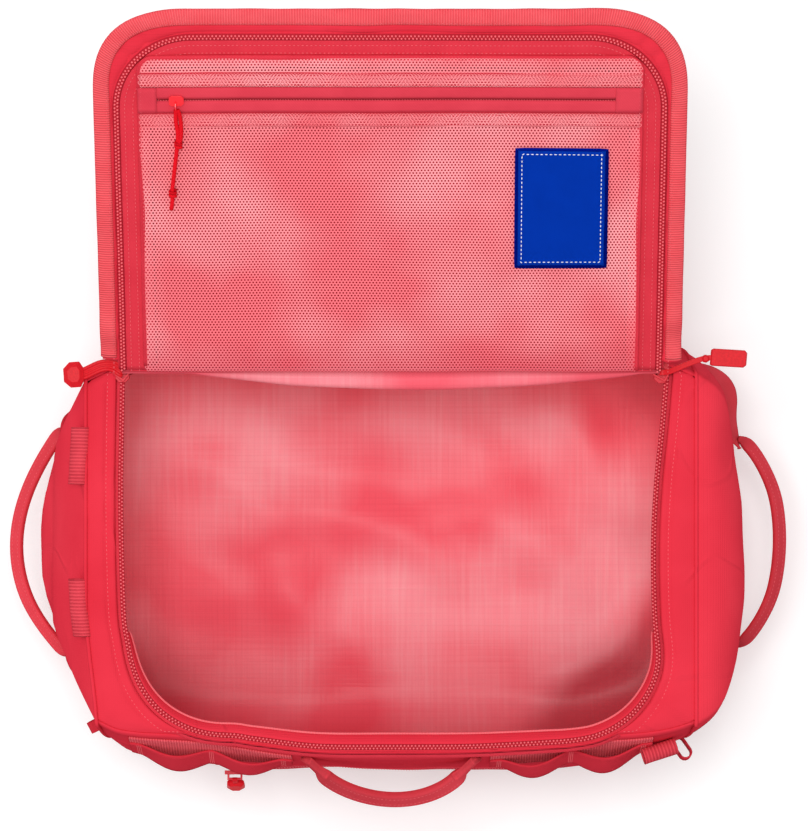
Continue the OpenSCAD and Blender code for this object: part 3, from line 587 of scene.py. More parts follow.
def panel(name, rows, towards, node, wrap=False, material=shell_red):
    made = sewn_sheet(name, rows, material, towards, SHELL_T, wrap)
    return fitted(made, "bag", "shell_fabric", node)


panel("front_cloth", side_rows(-1), (0, -1, 0), "front_panel")
panel("back_cloth", side_rows(1), (0, 1, 0), "back_panel")


def foot_arc(step):
    """The quarter turn from the wall's foot to the flat base, as half depth and height."""
    foot = wall(base_r) - base_r
    return [
        (foot + base_r * math.cos(math.radians(a)), base_r - base_r * math.sin(math.radians(a)))
        for a in range(0, 91, step)
    ]


def base_rows():
    rows = []
    flat_steps = 12
    half = foot_arc(10)
    foot = half[-1][0]
    flat = [(foot - 2 * foot * k / flat_steps, 0) for k in range(1, flat_steps)]
    line = half + flat + [(-y, z) for y, z in reversed(half)]
    for i in range(PANEL_STEPS + 1):
        x = -seam_x + 2 * seam_x * i / PANEL_STEPS
        row = []
        for y, z in line:
            calm = smooth_step(0, 30, seam_x - abs(x)) * smooth_step(2, 16, z)
            calm *= smooth_step(0, 14, base_r - z)
            swell = slack((x, y, z), 2.5, WALL_SEED) * calm
            swell -= SEAM_TUCK * (1 - smooth_step(0, 9, base_r - z))
            swell *= smooth_step(0, 30, abs(y))
            row.append((x, (y + math.copysign(1, y) * swell) * plan(x), z))
        rows.append(row)
    return rows


panel("base_cloth", base_rows(), (0, 0, -1), "base_panel")


def whole_outline():
    """The end seam's outline, from the middle of the top down one side and up the other."""
    top_steps, wall_steps, flat_steps = 10, 28, 8
    half = [(RIM_HALF * k / top_steps, rim_h) for k in range(top_steps)]
    for a in range(90, -1, -30):
        turn = math.radians(a)
        half.append((RIM_HALF + RIM_R * math.cos(turn), wall_top + 2 * RIM_R * math.sin(turn)))
    for k in range(1, wall_steps + 1):
        z = wall_top + (base_r - wall_top) * k / wall_steps
        half.append((wall(z), z))
    half += foot_arc(15)[1:]
    foot = half[-1][0]
    half += [(foot * k / flat_steps, 0) for k in range(flat_steps - 1, -1, -1)]
    return half + [(-y, z) for y, z in reversed(half[1:-1])]


END_RINGS = [
    1, 0.985, 0.96, 0.93, 0.9, 0.86, 0.82, 0.77, 0.72, 0.66, 0.6, 0.53, 0.46, 0.38, 0.3, 0.2,
    0.1, 0.001,
]


def end_rows(side):
    """An end panel: the seam's outline drawn in towards the middle as it swells outwards."""
    edge = plan(seam_x)
    bulge = half_l - seam_x
    rows = []
    for f in END_RINGS:
        row = []
        for y, z in whole_outline():
            p = Vector((0, y * edge * f, MID_Z + (z - MID_Z) * f))
            out = bulge * (1 - f ** END_FULLNESS[side])
            calm = smooth_step(0, 0.22, 1 - f)
            out += slack((p.x, p.y, p.z), 3.2, 9.0 + side) * calm
            if side < 0:
                crease = math.exp(-((p.z - 196 - 0.10 * p.y) / 9) ** 2)
                crease *= smooth_step(0.05, 0.35, 1 - f) * smooth_step(10, 40, 110 - abs(p.y))
                out -= 4.0 * crease
            out = min(out, bulge + 3)
            if side > 0:
                out -= right_taper(p.y) * calm
            p.x = side * (seam_x + out * (0.2 + 0.8 * smooth_step(0, 12, p.z)))
            p.y -= back_pinch(p.x, p.y, p.z)
            row.append(p)
        rows.append(row)
    return rows


# A lighter copy of the shell's tarpaulin for the end panels: painted light, brightening the ends
# that face sideways.
end_red_painted_light = tarpaulin("red_end_tarpaulin_painted_light", "#EE3C4D", "#E43244")
panel("right_end_cloth", end_rows(1), (1, 0, 0), "right_end_panel", True, end_red_painted_light)
panel("left_end_cloth", end_rows(-1), (-1, 0, 0), "left_end_panel", True, end_red_painted_light)

# End seams
# Each end panel is joined to the body by a felled seam: a low rounded ridge of
# folded cloth that shows as a line round the bag.
SEAM_R = 1.5
for side, word in ((1, "right"), (-1, "left")):
    ridge = []
    for y, z in whole_outline():
        x, y = side * (seam_x + 0.2), y * plan(seam_x)
        ridge.append((x, y - back_pinch(x, y, z), max(z, SEAM_R)))
    section = round_section(1.6, SEAM_R, 8)
    seam = swept_piece(
        f"{word}_end_seam", ridge, section, (side, 0, 0), shell_red, closed=True
    )
    fitted(seam, "bag", "shell_fabric")

# Rim
# The band of tarpaulin round the opening: folded back at the zip, top-stitched
# beside it, and puffed up a little between the stitching and the outer seam.
ZIP_HALF, ZIP_FAR, ZIP_R = 207, 286, 80
EDGE_OUT = 4.0
STITCH_OUT = 11.0
RIM_LEAST = EDGE_OUT + 1.5
RIM_PUFF, RIM_GROOVE, RIM_SLACK = 2.4, 1.5, 1.3


def u_path(half_w, start, far, r):
    """The U of a zip from the left end of the hinge round to the right end: a function that
    gives the place and the inward direction at a distance, and the whole length."""
    leg, arc, across = far - start - r, math.pi * r / 2, 2 * (half_w - r)
    total = 2 * (leg + arc) + across

    def at(s):
        if s <= leg:
            return Vector((-half_w, start + s)), Vector((1, 0))
        s -= leg
        if s <= arc:
            c, d = math.cos(s / r), math.sin(s / r)
            return Vector((-half_w + r - r * c, far - r + r * d)), Vector((c, -d))
        s -= arc
        if s <= across:
            return Vector((-half_w + r + s, far)), Vector((0, -1))
        s -= across
        if s <= arc:
            c, d = math.cos(s / r), math.sin(s / r)
            return Vector((half_w - r + r * d, far - r + r * c)), Vector((-d, -c))
        return Vector((half_w, far - r - (s - arc))), Vector((-1, 0))

    return at, total


even_u, body_u_length = u_path(ZIP_HALF, 0, ZIP_FAR, ZIP_R)

# The cloth pulls the opening out of true: how far it draws the zip inwards along its way round
zip_draw = smooth_path(
    [
        (0, 0, 0), (100, -1.5, 0), (185, 0.5, 0), (217, 4.2, 0), (269, 3.6, 0), (331, 4.4, 0),
        (354, 1.5, 0), (402, -4.2, 0), (458, -4.8, 0), (518, -4.4, 0), (560, -2.4, 0),
        (594, -0.6, 0), (620, -2.4, 0), (650, -3.6, 0), (685, -2.2, 0), (722, 3.2, 0),
        (780, 4.6, 0), (830, 2.2, 0), (875, -2.4, 0), (918, -6, 0),
    ],
    8,
)


def body_u(s):
    p, n = even_u(s)
    for a, b in zip(zip_draw, zip_draw[1:]):
        if a.x <= s <= b.x:
            return p + n * (a.y + (b.y - a.y) * (s - a.x) / (b.x - a.x)), n
    return p + n * zip_draw[-1].y, n


def rim_place(point):
    """From across, forwards of the hinge and up to the bag's own frame."""
    x, q, z = point
    return Vector((x, hinge_y - q, z))


def rim_point(s, inward, z):
    """A place on the rim at a distance along the zip and inwards from it."""
    p, n = body_u(s)
    q = p + n * inward
    return rim_place((q.x, q.y, z))


def on_rim(x, y):
    drawn = front_edge(x) if y < 0 else -back_pinch(x, RIM_HALF, rim_h)
    return abs(x) <= seam_x and abs(y) <= RIM_HALF * plan(x) + drawn


def rim_width(s):
    """How far the rim reaches outwards from the zip at a distance along it."""
    low, high = 0.0, 130.0
    for _ in range(24):
        mid = (low + high) / 2
        q = rim_point(s, -mid, 0)
        low, high = (mid, high) if on_rim(q.x, q.y) else (low, mid)
    return low


def rim_height(p, out, wide):
    """Height of the rim's cloth at a place, a distance outwards from the zip."""
    wide = max(wide, RIM_LEAST)
    t = (out - EDGE_OUT) / (wide - EDGE_OUT)
    puff = RIM_PUFF * math.sin(math.pi * min(t * 1.02, 1)) * min(1, (wide - EDGE_OUT) / 22)
    groove = RIM_GROOVE * math.exp(-((out - STITCH_OUT) / 2.2) ** 2) * smooth_step(12, 20, wide)
    rough = slack((p.x, p.y, 0), RIM_SLACK, 2.0) * math.sin(math.pi * t)
    lower = front_drop(p.x) * max(t, 0) ** 1.3 if p.y < 0 else 0.0
    return rim_h + 0.2 + puff - groove + rough - lower


rim_rows = []
for i in range(241):
    s = body_u_length * i / 240
    wide = max(rim_width(s), RIM_LEAST)
    row = []
    for k in range(19):
        t = k / 18
        out = EDGE_OUT + (wide - EDGE_OUT) * t
        p = rim_point(s, -out, 0)
        row.append((p.x, p.y, rim_height(p, out, wide) - 1.4 * (k == 0) - 0.8 * t ** 6))
    rim_rows.append(row)
rim_cloth = sewn_sheet("rim_cloth", rim_rows, shell_red, (0, 0, 1), SHELL_T)
fitted(rim_cloth, "bag", "shell_fabric", "top_frame")


def strip(along, across, point):
    """Rows of points, from a function of the shares along and across a strip."""
    return [[point(i / along, k / across) for k in range(across + 1)] for i in range(along + 1)]


def back_rim_place(t, back):
    x = (ZIP_HALF + 8) * (2 * t - 1)
    far = RIM_HALF * plan(x) - back_pinch(x, RIM_HALF, rim_h)
    near = min(hinge_y + 0.4, far - 1)
    return x, near + (far - near) * back, rim_h + 0.9 * math.sin(math.pi * back)


back_rim = sewn_sheet(
    "back_rim_cloth", strip(60, 4, back_rim_place), shell_red, (0, 0, 1), SHELL_T
)
fitted(back_rim, "bag", "shell_fabric")

# Hinge strip
# An upright strip of the same cloth along the back of the opening. Its piped edge
# is sewn to the lid, so that the lid turns on it.
strip_low, strip_high = (v.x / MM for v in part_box("hinge_strip"))


def hinge_place(t, up):
    x = strip_low + (strip_high - strip_low) * t
    lean = 0.4 * noise.noise(Vector((x / 40, 1.0, 0)))
    return x, hinge_y - 1.0 + lean * up, rim_h - 4 + (hinge_z - rim_h + 4.4) * up


hinge_cloth = sewn_sheet("hinge_cloth", strip(60, 4, hinge_place), shell_red, (0, -1, 0), 0.9)
fitted(hinge_cloth, "bag", "shell_fabric", "hinge_strip")

# Lining
# A bag of pink coated ripstop hung from the rim and loose inside the shell. It sags
# into broad folds over the foam board in the base.
LINING_IN = 6.0
LINING_FLOOR = 8.5
LINING_TURN_Z, LINING_TURN_R = 52, 42


def ripstop(name, base, pale, shade):
    """Thin coated cloth: fine streaks both ways from uneven threads and a faint grid of thicker
    ones. Broad pale patches at random are painted sheen on the coat, and a share kept on each point
    adds painted shade."""
    made, tree, shader = new_material(name, 0.44, 0.22)
    place = on_object(tree)
    axes = add_node(tree, "ShaderNodeSeparateXYZ", {0: place}).outputs
    sheen_patches = map_range(tree, cloudy(tree, 8.0, 1.5), 0.40, 0.66)
    tone = blend_colours(tree, sheen_patches, colour(base), colour(pale))
    streaks = []
    for scale, amount in (((300.0, 12.0, 12.0), 0.5), ((12.0, 300.0, 12.0), 0.22)):
        drift = add_node(tree, "ShaderNodeMapping", {"Vector": place, "Scale": scale})
        threads = add_node(
            tree, "ShaderNodeTexNoise", {"Vector": drift.outputs[0], "Scale": 1.0, "Detail": 3.0}
        ).outputs[0]
        lines = map_range(tree, threads, 0.45, 0.75, 0.0, amount)
        tone = blend_colours(tree, maths(tree, "MULTIPLY", lines, sheen_patches), tone, colour("#FFB4B8"))
        streaks.append(threads)
    grid_lines = maths(tree, "MAXIMUM", *(
        map_range(tree, ripple(tree, axes[axis], 0.0052), 0.8, 1.0) for axis in (0, 1)
    ))
    tone = blend_colours(tree, maths(tree, "MULTIPLY", grid_lines, 0.06), tone, colour(shade))
    # Painted shade: a share kept on each point darkens the lining towards its shade colour.
    painted_shade = add_node(tree, "ShaderNodeAttribute", attribute_name="painted_shade")
    tone = blend_colours(tree, painted_shade.outputs["Fac"], tone, colour(shade))
    tree.links.new(tone, shader.inputs["Base Color"])
    raise_surface(tree, shader, maths(tree, "ADD", *streaks), 0.00025)
    return made


# The pale pink is painted sheen; the dark red serves the grid lines and the painted shade.
lining_pink = ripstop("pink_ripstop", "#F96171", "#FF9CA6", "#AE2A38")


def in_shell(x, y, z):
    """True inside the outer panels, with the lining's own distance kept from them."""
    depth = wall(z) - LINING_IN
    y += back_pinch(x, y + 19, z)
    drawn = front_edge(x) * smooth_step(225, 268, z) if y < 0 else 0.0
    if abs(x) <= seam_x:
        return abs(y) < depth * plan(x) + min(drawn, 0.0)
    side = 1 if x > 0 else -1
    if side > 0:
        x += right_taper(y)
    f = max(abs(y) / (plan(seam_x) * depth), abs(z - MID_Z) / MID_Z)
    if f >= 1:
        return False
    return abs(x) < seam_x + (half_l - seam_x - 2.4 * LINING_IN) * (1 - f ** END_FULLNESS[side])


def shell_reach(angle, z):
    low, high = 0.0, 340.0
    for _ in range(22):
        mid = (low + high) / 2
        inside = in_shell(mid * math.cos(angle), mid * math.sin(angle), z)
        low, high = (mid, high) if inside else (low, mid)
    return low


mouth_line = []
for i in range(221):
    p, n = body_u(body_u_length * i / 220)
    mouth_line.append((p.x + n.x, hinge_y - 2 - max(p.y + n.y - 2, 0)))


def opening_reach(angle):
    """Distance from the bag's middle to the opening's edge in a direction."""
    c, s = math.cos(angle), math.sin(angle)
    for (ax, ay), (bx, by) in zip(mouth_line, mouth_line[1:] + mouth_line[:1]):
        side_a, side_b = ax * s - ay * c, bx * s - by * c
        if side_a * side_b <= 0 and side_a != side_b:
            t = side_a / (side_a - side_b)
            reach = (ax + (bx - ax) * t) * c + (ay + (by - ay) * t) * s
            if reach > 0:
                return reach
    return 0.0


# Each fold: start and end seen from above, half width and height
floor_folds = [
    ((-190, 70), (-70, -20), 26, 8), ((-110, 25), (60, -25), 24, 7),
    ((-60, 95), (90, 70), 28, 6), ((40, 20), (170, -40), 26, 7),
    ((-170, -50), (-20, -85), 24, 6), ((-150, 10), (-60, -110), 22, 5),
    ((225, -47), (131, -133), 20, 7), ((120, 110), (185, 50), 22, 6),
]


def fold_height(x, y):
    """Height of the lining above its lowest level, in broad swells and a few long folds."""
    total = 3 + 4.5 * noise.noise(Vector((x / 115, y / 90, 2.1)))
    total += 2.2 * noise.noise(Vector((x / 56 + 7, y / 44, 5.2)))
    for (ax, ay), (bx, by), wide, high in floor_folds:
        dx, dy = bx - ax, by - ay
        long = math.hypot(dx, dy)
        along = ((x - ax) * dx + (y - ay) * dy) / long / long
        bend = 14 * math.sin(along * math.pi * 1.2)
        off = ((x - ax) * dy - (y - ay) * dx) / long + bend
        fade = smooth_step(-0.35, 0.3, along) * (1 - smooth_step(0.7, 1.35, along))
        total += high * math.exp(-(off / wide) ** 2) * fade
    return max(total, 0.2)


LOOPS = 176
levels = []
for i in range(LOOPS):
    angle = 2 * math.pi * i / LOOPS
    mouth = opening_reach(angle)
    wall_high = rim_h - 16
    line = [
        (mouth, rim_h - 3), (mouth + 1, rim_h - 6),
        ((mouth + shell_reach(angle, wall_high)) / 2, rim_h - 10),
    ]
    for k in range(13):
        z = wall_high - (wall_high - LINING_TURN_Z) * k / 12
        line.append((shell_reach(angle, z), z))
    inner = shell_reach(angle, LINING_TURN_Z) - LINING_TURN_R
    for a in range(15, 91, 15):
        t = math.radians(a)
        drop = (LINING_TURN_Z - LINING_FLOOR) * math.sin(t)
        line.append((inner + LINING_TURN_R * math.cos(t), LINING_TURN_Z - drop))
    line += [(inner * (1 - k / 22), LINING_FLOOR) for k in range(1, 22)]
    levels.append([(r * math.cos(angle), r * math.sin(angle), z) for r, z in line])
lining_rows = []
for k in range(len(levels[0])):
    row = []
    for i in range(LOOPS):
        x, y, z = levels[i][k]
        reach = math.hypot(x, y)
        edge_in = 2.0 + 4.0 * noise.noise(Vector((x / 60, y / 60, z / 90 + 4)))
        draw = smooth_step(0, 60, rim_h - 6 - z) * smooth_step(20, 120, reach)
        shrink = 1 - draw * max(edge_in, 0) / max(reach, 1)
        x, y = x * shrink, y * shrink
        if z < 60:
            z += fold_height(x, y) * smooth_step(60, 20, z)
        row.append((x, y, z))
    lining_rows.append(row)
points, faces, uvs = grid(lining_rows, wrap=True)
centre = len(points)
last = (len(lining_rows) - 1) * LOOPS
points.append((0, 0, LINING_FLOOR + fold_height(0, 0)))
for i in range(LOOPS):
    faces.append([last + i, last + (i + 1) % LOOPS, centre])
    uvs += [(0, 0)] * 3
lining_cloth = piece("lining_cloth", points, faces, lining_pink, uvs, (0, 0, 1))


def lining_painted_shade(x, y):
    """Painted shade: the lining is darker in its corners, towards the front and at the left end,
    where shade falls.
    """
    spots = (
        (-195, -128, 58, 0.36), (185, -125, 60, 0.32), (215, 122, 26, 0.25), (205, 0, 22, 0.15),
    )
    total = 0.12 * smooth_step(-180, -225, x) + 0.4 * smooth_step(-60, -150, y)
    total += 0.36 * smooth_step(-8, 26, 0.68 * (x - 225) - 0.74 * (y + 47))
    for ax, ay, wide, amount in spots:
        total += amount * math.exp(-((x - ax) ** 2 + (y - ay) ** 2) / wide ** 2)
    return min(total, 0.9)


# Stores a share of painted shade on each point, which the lining's material darkens by.
def paint_shade(made, amount):
    layer = made.data.attributes.new("painted_shade", "FLOAT", "POINT")
    for vertex in made.data.vertices:
        layer.data[vertex.index].value = amount(vertex)


paint_shade(lining_cloth, lambda vertex: lining_painted_shade(vertex.co.x / MM, vertex.co.y / MM))
fitted(lining_cloth, "bag", "lining_fabric", "lining", "base_pad")

# Hinge fold
# At the back of the opening the lining is slack and rolls forward over itself in one long
# lens-shaped fold, just below the line that the lid turns on.
FOLD_HALF = 206
FOLD_DEEP = 12.5
FOLD_ROUND = 11
fold_rows = []
for i in range(81):
    x = FOLD_HALF * (2 * i / 80 - 1)
    t = min(max((x + 152) / 344, 0), 1)
    uneven = 1 + 0.1 * noise.noise(Vector((x / 50, 3.0, 0)))
    deep = 1.0 + FOLD_DEEP * math.sin(math.pi * t) ** 0.8 * uneven
    row = [(x, hinge_y + 1.4, hinge_z + 2.2)]
    for k in range(FOLD_ROUND):
        a = math.pi * (k / (FOLD_ROUND - 1)) * 0.92
        row.append((
            x, hinge_y - 1.9 - deep * math.sin(a) ** 0.8,
            hinge_z - 1.2 - (3 + 0.9 * deep) * (1 - math.cos(a)) / 2,
        ))
    fold_rows.append(row)
hinge_fold = sewn_sheet("hinge_fold", fold_rows, lining_pink, (0, -1, 1), 0.5)


def fold_painted_shade(vertex):
    """Painted shade on the fold: darker at its ends, where it is tucked under the hinge, and below.
    """
    down = vertex.index % (FOLD_ROUND + 1) / FOLD_ROUND
    ends = smooth_step(70, 190, abs(vertex.co.x / MM - 20))
    tucked, below = smooth_step(0.2, 0.05, down), smooth_step(0.6, 1, down)
    return 0.14 + 0.3 * ends + 0.6 * tucked + 0.2 * below


paint_shade(hinge_fold, fold_painted_shade)
fitted(hinge_fold, "bag", "lining_fabric")

# Main zip, body half
# A coil zip sewn under the rim's folded edge: twill tape, and a row of slanted nylon
# teeth that stand at the edge of the opening. The rows are grown along the U.
TEETH_PITCH = 2.8


def new_tree(name, sockets):
    tree = bpy.data.node_groups.new(name, "GeometryNodeTree")
    tree.interface.new_socket("Geometry", in_out="INPUT", socket_type="NodeSocketGeometry")
    for label, kind in sockets:
        tree.interface.new_socket(label, in_out="INPUT", socket_type=f"NodeSocket{kind}")
    tree.interface.new_socket("Geometry", in_out="OUTPUT", socket_type="NodeSocketGeometry")
    return tree, add_node(tree, "NodeGroupInput").outputs


def row_tree(name, beads):
    """Rounded beads set out along a path. Beads sit at places given as shares of the pitch
    along the path and of the width across it."""
    tree, given = new_tree(
        name,
        [("Pitch", "Float"), ("Long", "Float"), ("Wide", "Float"), ("High", "Float"),
         ("Finish", "Material")],
    )
    line = add_node(tree, "GeometryNodeMeshToCurve", {"Mesh": given["Geometry"]})
    spots = add_node(
        tree, "GeometryNodeResampleCurve",
        {"Curve": line.outputs[0], "Length": given["Pitch"]}, mode="LENGTH",
    )
    size = add_node(
        tree, "ShaderNodeCombineXYZ", {0: given["Long"], 1: given["Wide"], 2: given["High"]}
    )
    block = add_node(tree, "GeometryNodeMeshCube", {"Size": size.outputs[0]})
    bead = add_node(tree, "GeometryNodeSubdivisionSurface", {"Mesh": block.outputs[0], "Level": 1})
    unit = add_node(tree, "GeometryNodeJoinGeometry")
    for along, across, turn in beads:
        move = add_node(
            tree, "ShaderNodeCombineXYZ",
            {0: maths(tree, "MULTIPLY", given["Pitch"], along),
             1: maths(tree, "MULTIPLY", given["Wide"], across)},
        )
        placed = add_node(
            tree, "GeometryNodeTransform",
            {"Geometry": bead.outputs[0], "Translation": move.outputs[0], "Rotation": (0, 0, turn)},
        )
        tree.links.new(placed.outputs[0], unit.inputs[0])
    tangent = add_node(tree, "GeometryNodeInputTangent")
    aim = add_node(
        tree, "FunctionNodeAlignRotationToVector", {"Vector": tangent.outputs[0]},
        axis="X", pivot_axis="AUTO",
    )
    laid = add_node(
        tree, "GeometryNodeInstanceOnPoints",
        {"Points": spots.outputs[0], "Instance": unit.outputs[0], "Rotation": aim.outputs[0]},
    )
    real = add_node(tree, "GeometryNodeRealizeInstances", {"Geometry": laid.outputs[0]})
    smooth = add_node(tree, "GeometryNodeSetShadeSmooth", {"Geometry": real.outputs[0]})
    coated = add_node(
        tree, "GeometryNodeSetMaterial",
        {"Geometry": smooth.outputs[0], "Material": given["Finish"]},
    )
    add_node(tree, "NodeGroupOutput", {"Geometry": coated.outputs[0]})
    return tree


def bead_sizes(pitch, long, wide, high, finish):
    """What a row of beads is given, from millimetres."""
    return {
        "Pitch": pitch * MM, "Long": long * MM, "Wide": wide * MM, "High": high * MM,
        "Finish": finish,
    }


def grown(name, tree, lines, values, place=None):
    """Runs a tree on lines of points in millimetres and keeps the plain mesh."""
    seed = bpy.data.meshes.new(name + "_lines")
    points, edges = [], []
    for line in lines:
        start = len(points)
        points += [Vector(p) * MM for p in line]
        edges += [(start + k, start + k + 1) for k in range(len(line) - 1)]
    seed.from_pydata(points, edges, [])
    source = bpy.data.objects.new(name + "_lines", seed)
    bpy.context.scene.collection.objects.link(source)
    growth = source.modifiers.new("growth", "NODES")
    growth.node_group = tree
    for item in tree.interface.items_tree:
        if item.in_out == "INPUT" and item.name in values:
            growth[item.identifier] = values[item.name]
    ready = bpy.context.evaluated_depsgraph_get()
    ready.update()
    mesh = bpy.data.meshes.new_from_object(source.evaluated_get(ready), depsgraph=ready)
    source.modifiers.remove(growth)
    bpy.data.objects.remove(source)
    bpy.data.meshes.remove(seed)
    mesh.name = name
    for vertex in mesh.vertices:
        vertex.co = askew(place(vertex.co / MM) if place else vertex.co / MM) * MM
    made = bpy.data.objects.new(name, mesh)
    bpy.context.scene.collection.objects.link(made)
    return made


def moulded(name, base, roughness, gloss=0.15):
    """Nylon or rubber in one colour right through, with a fine moulded grain."""
    made, tree, shader = new_material(name, roughness, gloss)
    grain = cloudy(tree, 700.0, 2.0)
    deep = tuple(c * 0.82 for c in colour(base)[:3]) + (1,)
    tone = blend_colours(tree, map_range(tree, grain, 0.3, 0.7), deep, colour(base))
    tree.links.new(tone, shader.inputs["Base Color"])
    raise_surface(tree, shader, grain, 0.00005)
    return made


def twill(name, base, shade, rib):
    """Tape woven in fine slanted ribs, on its own UV map."""
    made, tree, shader = new_material(name, 0.62)
    axes = strip_axes(tree)
    ribs = ripple(tree, maths(tree, "ADD", axes[0], axes[1]), rib)
    both = maths(tree, "MULTIPLY_ADD", cloudy(tree, 40.0, 3.0), 2.0, ribs)
    paint_between(tree, shader, both, -0.4, 2.2, shade, base)
    raise_surface(tree, shader, ribs, 0.00012)
    return made


tape_red = twill("red_zip_tape", "#EC4252", "#D22F3F", 0.0011)
# The teeth are painted paler than the tape: painted highlight for the shine on the nylon.
highlit_teeth_red = moulded("red_zip_teeth_painted_highlight", "#FA7078", 0.3)
# The coil's cord is painted dark, as painted shade in the gaps between the teeth.
shade_core_red = moulded("red_coil_core_painted_shade", "#B42432", 0.6, 0.03)
teeth_tree = row_tree("zip_teeth", [(0.0, 0.5, 0.35), (0.5, -0.5, 0.35)])
stitch_tree = row_tree("stitches", [(0.0, 0.0, 0.0)])
TEETH = bead_sizes(TEETH_PITCH, 1.8, 2.0, 2.8, highlit_teeth_red)


def u_rows(u, profile, start, end, steps, place, ripple_mm=0.0, seed=0.0, edge=None):
    """Rows for a strip carried along a zip's U: a profile of inward distance and height. An
    edge gives the distance outwards that the profile is measured from."""
    rows = []
    for i in range(steps + 1):
        s = start + (end - start) * i / steps
        p, n = u(s)
        lift = ripple_mm * noise.noise(Vector((s / 22, seed, 0)))
        out = edge(s) if edge else 0.0
        rows.append([
            place((p.x + n.x * (d - out), p.y + n.y * (d - out), w + lift)) for d, w in profile
        ])
    return rows


tape_z = rim_h - 2.4
tape_profile = [(-8, tape_z), (-4, tape_z + 0.2), (-1, tape_z + 0.5), (2, tape_z)]
body_tape = sewn_sheet(
    "body_zip_cloth",
    u_rows(body_u, tape_profile, 2, body_u_length - 2, 220, rim_place), tape_red, (0, 0, 1), 0.9,
)
fitted(body_tape, "bag", "zip_tape", "body_zip_tape")
teeth_line = []
for i in range(401):
    p, n = body_u(2 + (body_u_length - 4) * i / 400)
    teeth_line.append((p.x + n.x * 0.3, p.y + n.y * 0.3, rim_h - 1.0))
body_teeth = grown("body_zip_coil", teeth_tree, [teeth_line], TEETH, rim_place)
# Dark core under the body's teeth: the coil's cord, painted dark as shade between them.
body_shade_core = swept_piece(
    "body_zip_shade_core", [(x, q, z - 0.5) for x, q, z in teeth_line], round_section(1.9, 0.6, 8),
    (0, 0, 1), shade_core_red, place=rim_place,
)
fitted(body_shade_core, "bag", "zip_teeth")
fitted(body_teeth, "bag", "zip_teeth", "body_zip_teeth")

# Front zip facing
# Inside the front of the opening the zip is backed by a facing of tarpaulin, which leans
# out and ends in a pale bound edge.
FACING_W = 7.5
facing_rows = []
for i in range(121):
    p, n = body_u(body_u_length * (0.22 + 0.56 * i / 120))
    wide = FACING_W * math.sin(math.pi * i / 120) ** 0.6
    row = []
    for k in range(6):
        t = k / 5
        q = p + n * (2.4 + wide * t)
        row.append(rim_place((q.x, q.y, rim_h - 1.6 - 7 * t ** 1.5)))
    facing_rows.append(row)
front_facing = sewn_sheet("front_facing", facing_rows, shell_red, (0, 0, 1), 1.0)
binding_pink = twill("pale_edge", "#F77880", "#E85A64", 0.0012)
facing_edge = swept_piece(
    "front_facing_edge", [row[-1] for row in facing_rows], round_section(1.1, 0.8, 8), (0, 0, 1),
    binding_pink,
)
fitted(front_facing, "bag", "shell_fabric")
fitted(facing_edge, "bag", "binding")

# Stitching
# Lock-stitch rows in pale red thread: this one runs beside the zip on the rim, and others are
# with the pieces that they hold. Each stitch is a small slug laid on the cloth.
thread_pink = moulded("pale_thread", "#F46872", 0.6, 0.03)
STITCH = bead_sizes(3.2, 2.2, 0.7, 0.6, thread_pink)
stitch_runs = [[]]
for i in range(301):
    s = body_u_length * i / 300
    wide = rim_width(s)
    out = min(STITCH_OUT, wide - 2.5)
    if out > EDGE_OUT + 1:
        p, n = body_u(s)
        height = rim_height(rim_point(s, -out, 0), out, wide)
        stitch_runs[-1].append((p.x - n.x * out, p.y - n.y * out, height + 0.1))
    elif stitch_runs[-1]:
        stitch_runs.append([])
rim_stitches = grown(
    "rim_stitches", stitch_tree, [run for run in stitch_runs if len(run) > 3], STITCH, rim_place
)
fitted(rim_stitches, "bag", "shell_fabric")

# Lid shell
# The lid is one flat panel of tarpaulin. Folded back, it shows its inside: outside the zip
# a storm flap of plain cloth runs round it, and a ribbed tape binds the raw edge.
LID_CORNER_R = 56
lid_u, lid_u_length = u_path(LID_HALF, 1, LID_LENGTH, LID_CORNER_R)
FLAP = 21
FLAP_SIDE = 16.5
FLAP_CORNER = 8
BINDING_W = 11.5


def flap_width(s):
    """How far the flap reaches past the zip: less along the sides than across the front."""
    leg, arc = LID_LENGTH - 1 - LID_CORNER_R, math.pi * LID_CORNER_R / 2
    inner = min(s, lid_u_length - s)
    turned = min(max((inner - leg) / arc, 0), 1)
    corner = FLAP_CORNER * math.sin(math.pi * turned) ** 2
    return FLAP_SIDE + (FLAP - FLAP_SIDE) * smooth_step(0, 1, turned) + corner


def edge_ripple(point):
    """The free edge of the lid is not held by anything and waves a little."""
    x, v, w = point
    near_end = smooth_step(80, 5, v) * smooth_step(185, 212, abs(x))
    roll = 3.2 * near_end * math.sin(v / 6.5 + (0.4 if x > 0 else 2.2))
    free = smooth_step(192, 216, abs(x)) + smooth_step(LID_LENGTH - 6, LID_LENGTH + 18, v)
    wave = 2.2 * noise.noise(Vector((x / 30, v / 30, 1.3))) * min(free, 1)
    return (x, v, w + roll + wave)


def flap_place(point):
    return lid_point(edge_ripple(point))


def lid_rows(profile, steps, ripple_mm, seed, edge=None, place=lid_point, start=0.0):
    return u_rows(
        lid_u, profile, start, lid_u_length - start, steps, place, ripple_mm, seed, edge
    )


def lid_half(v, inset):
    """Half width of the zip's U on the lid at a distance from the hinge."""
    r = LID_CORNER_R
    if v <= LID_LENGTH - r:
        return LID_HALF - inset
    d = min(v - (LID_LENGTH - r), r)
    return LID_HALF - r + math.sqrt(max(r * r - d * d, 0)) - inset


def lid_cloth_place(t, across):
    start, past_zip = 1.5, 4
    v = start + (LID_LENGTH + past_zip - start) * t
    half = max(lid_half(v - past_zip, -past_zip), 1)
    return lid_point((half * (2 * across - 1), v, -0.6))


lid_cloth = sewn_sheet(
    "lid_cloth", strip(70, 70, lid_cloth_place), shell_red, (0, 0, -1), SHELL_T - 0.4
)
fitted(lid_cloth, "lid", "shell_fabric")

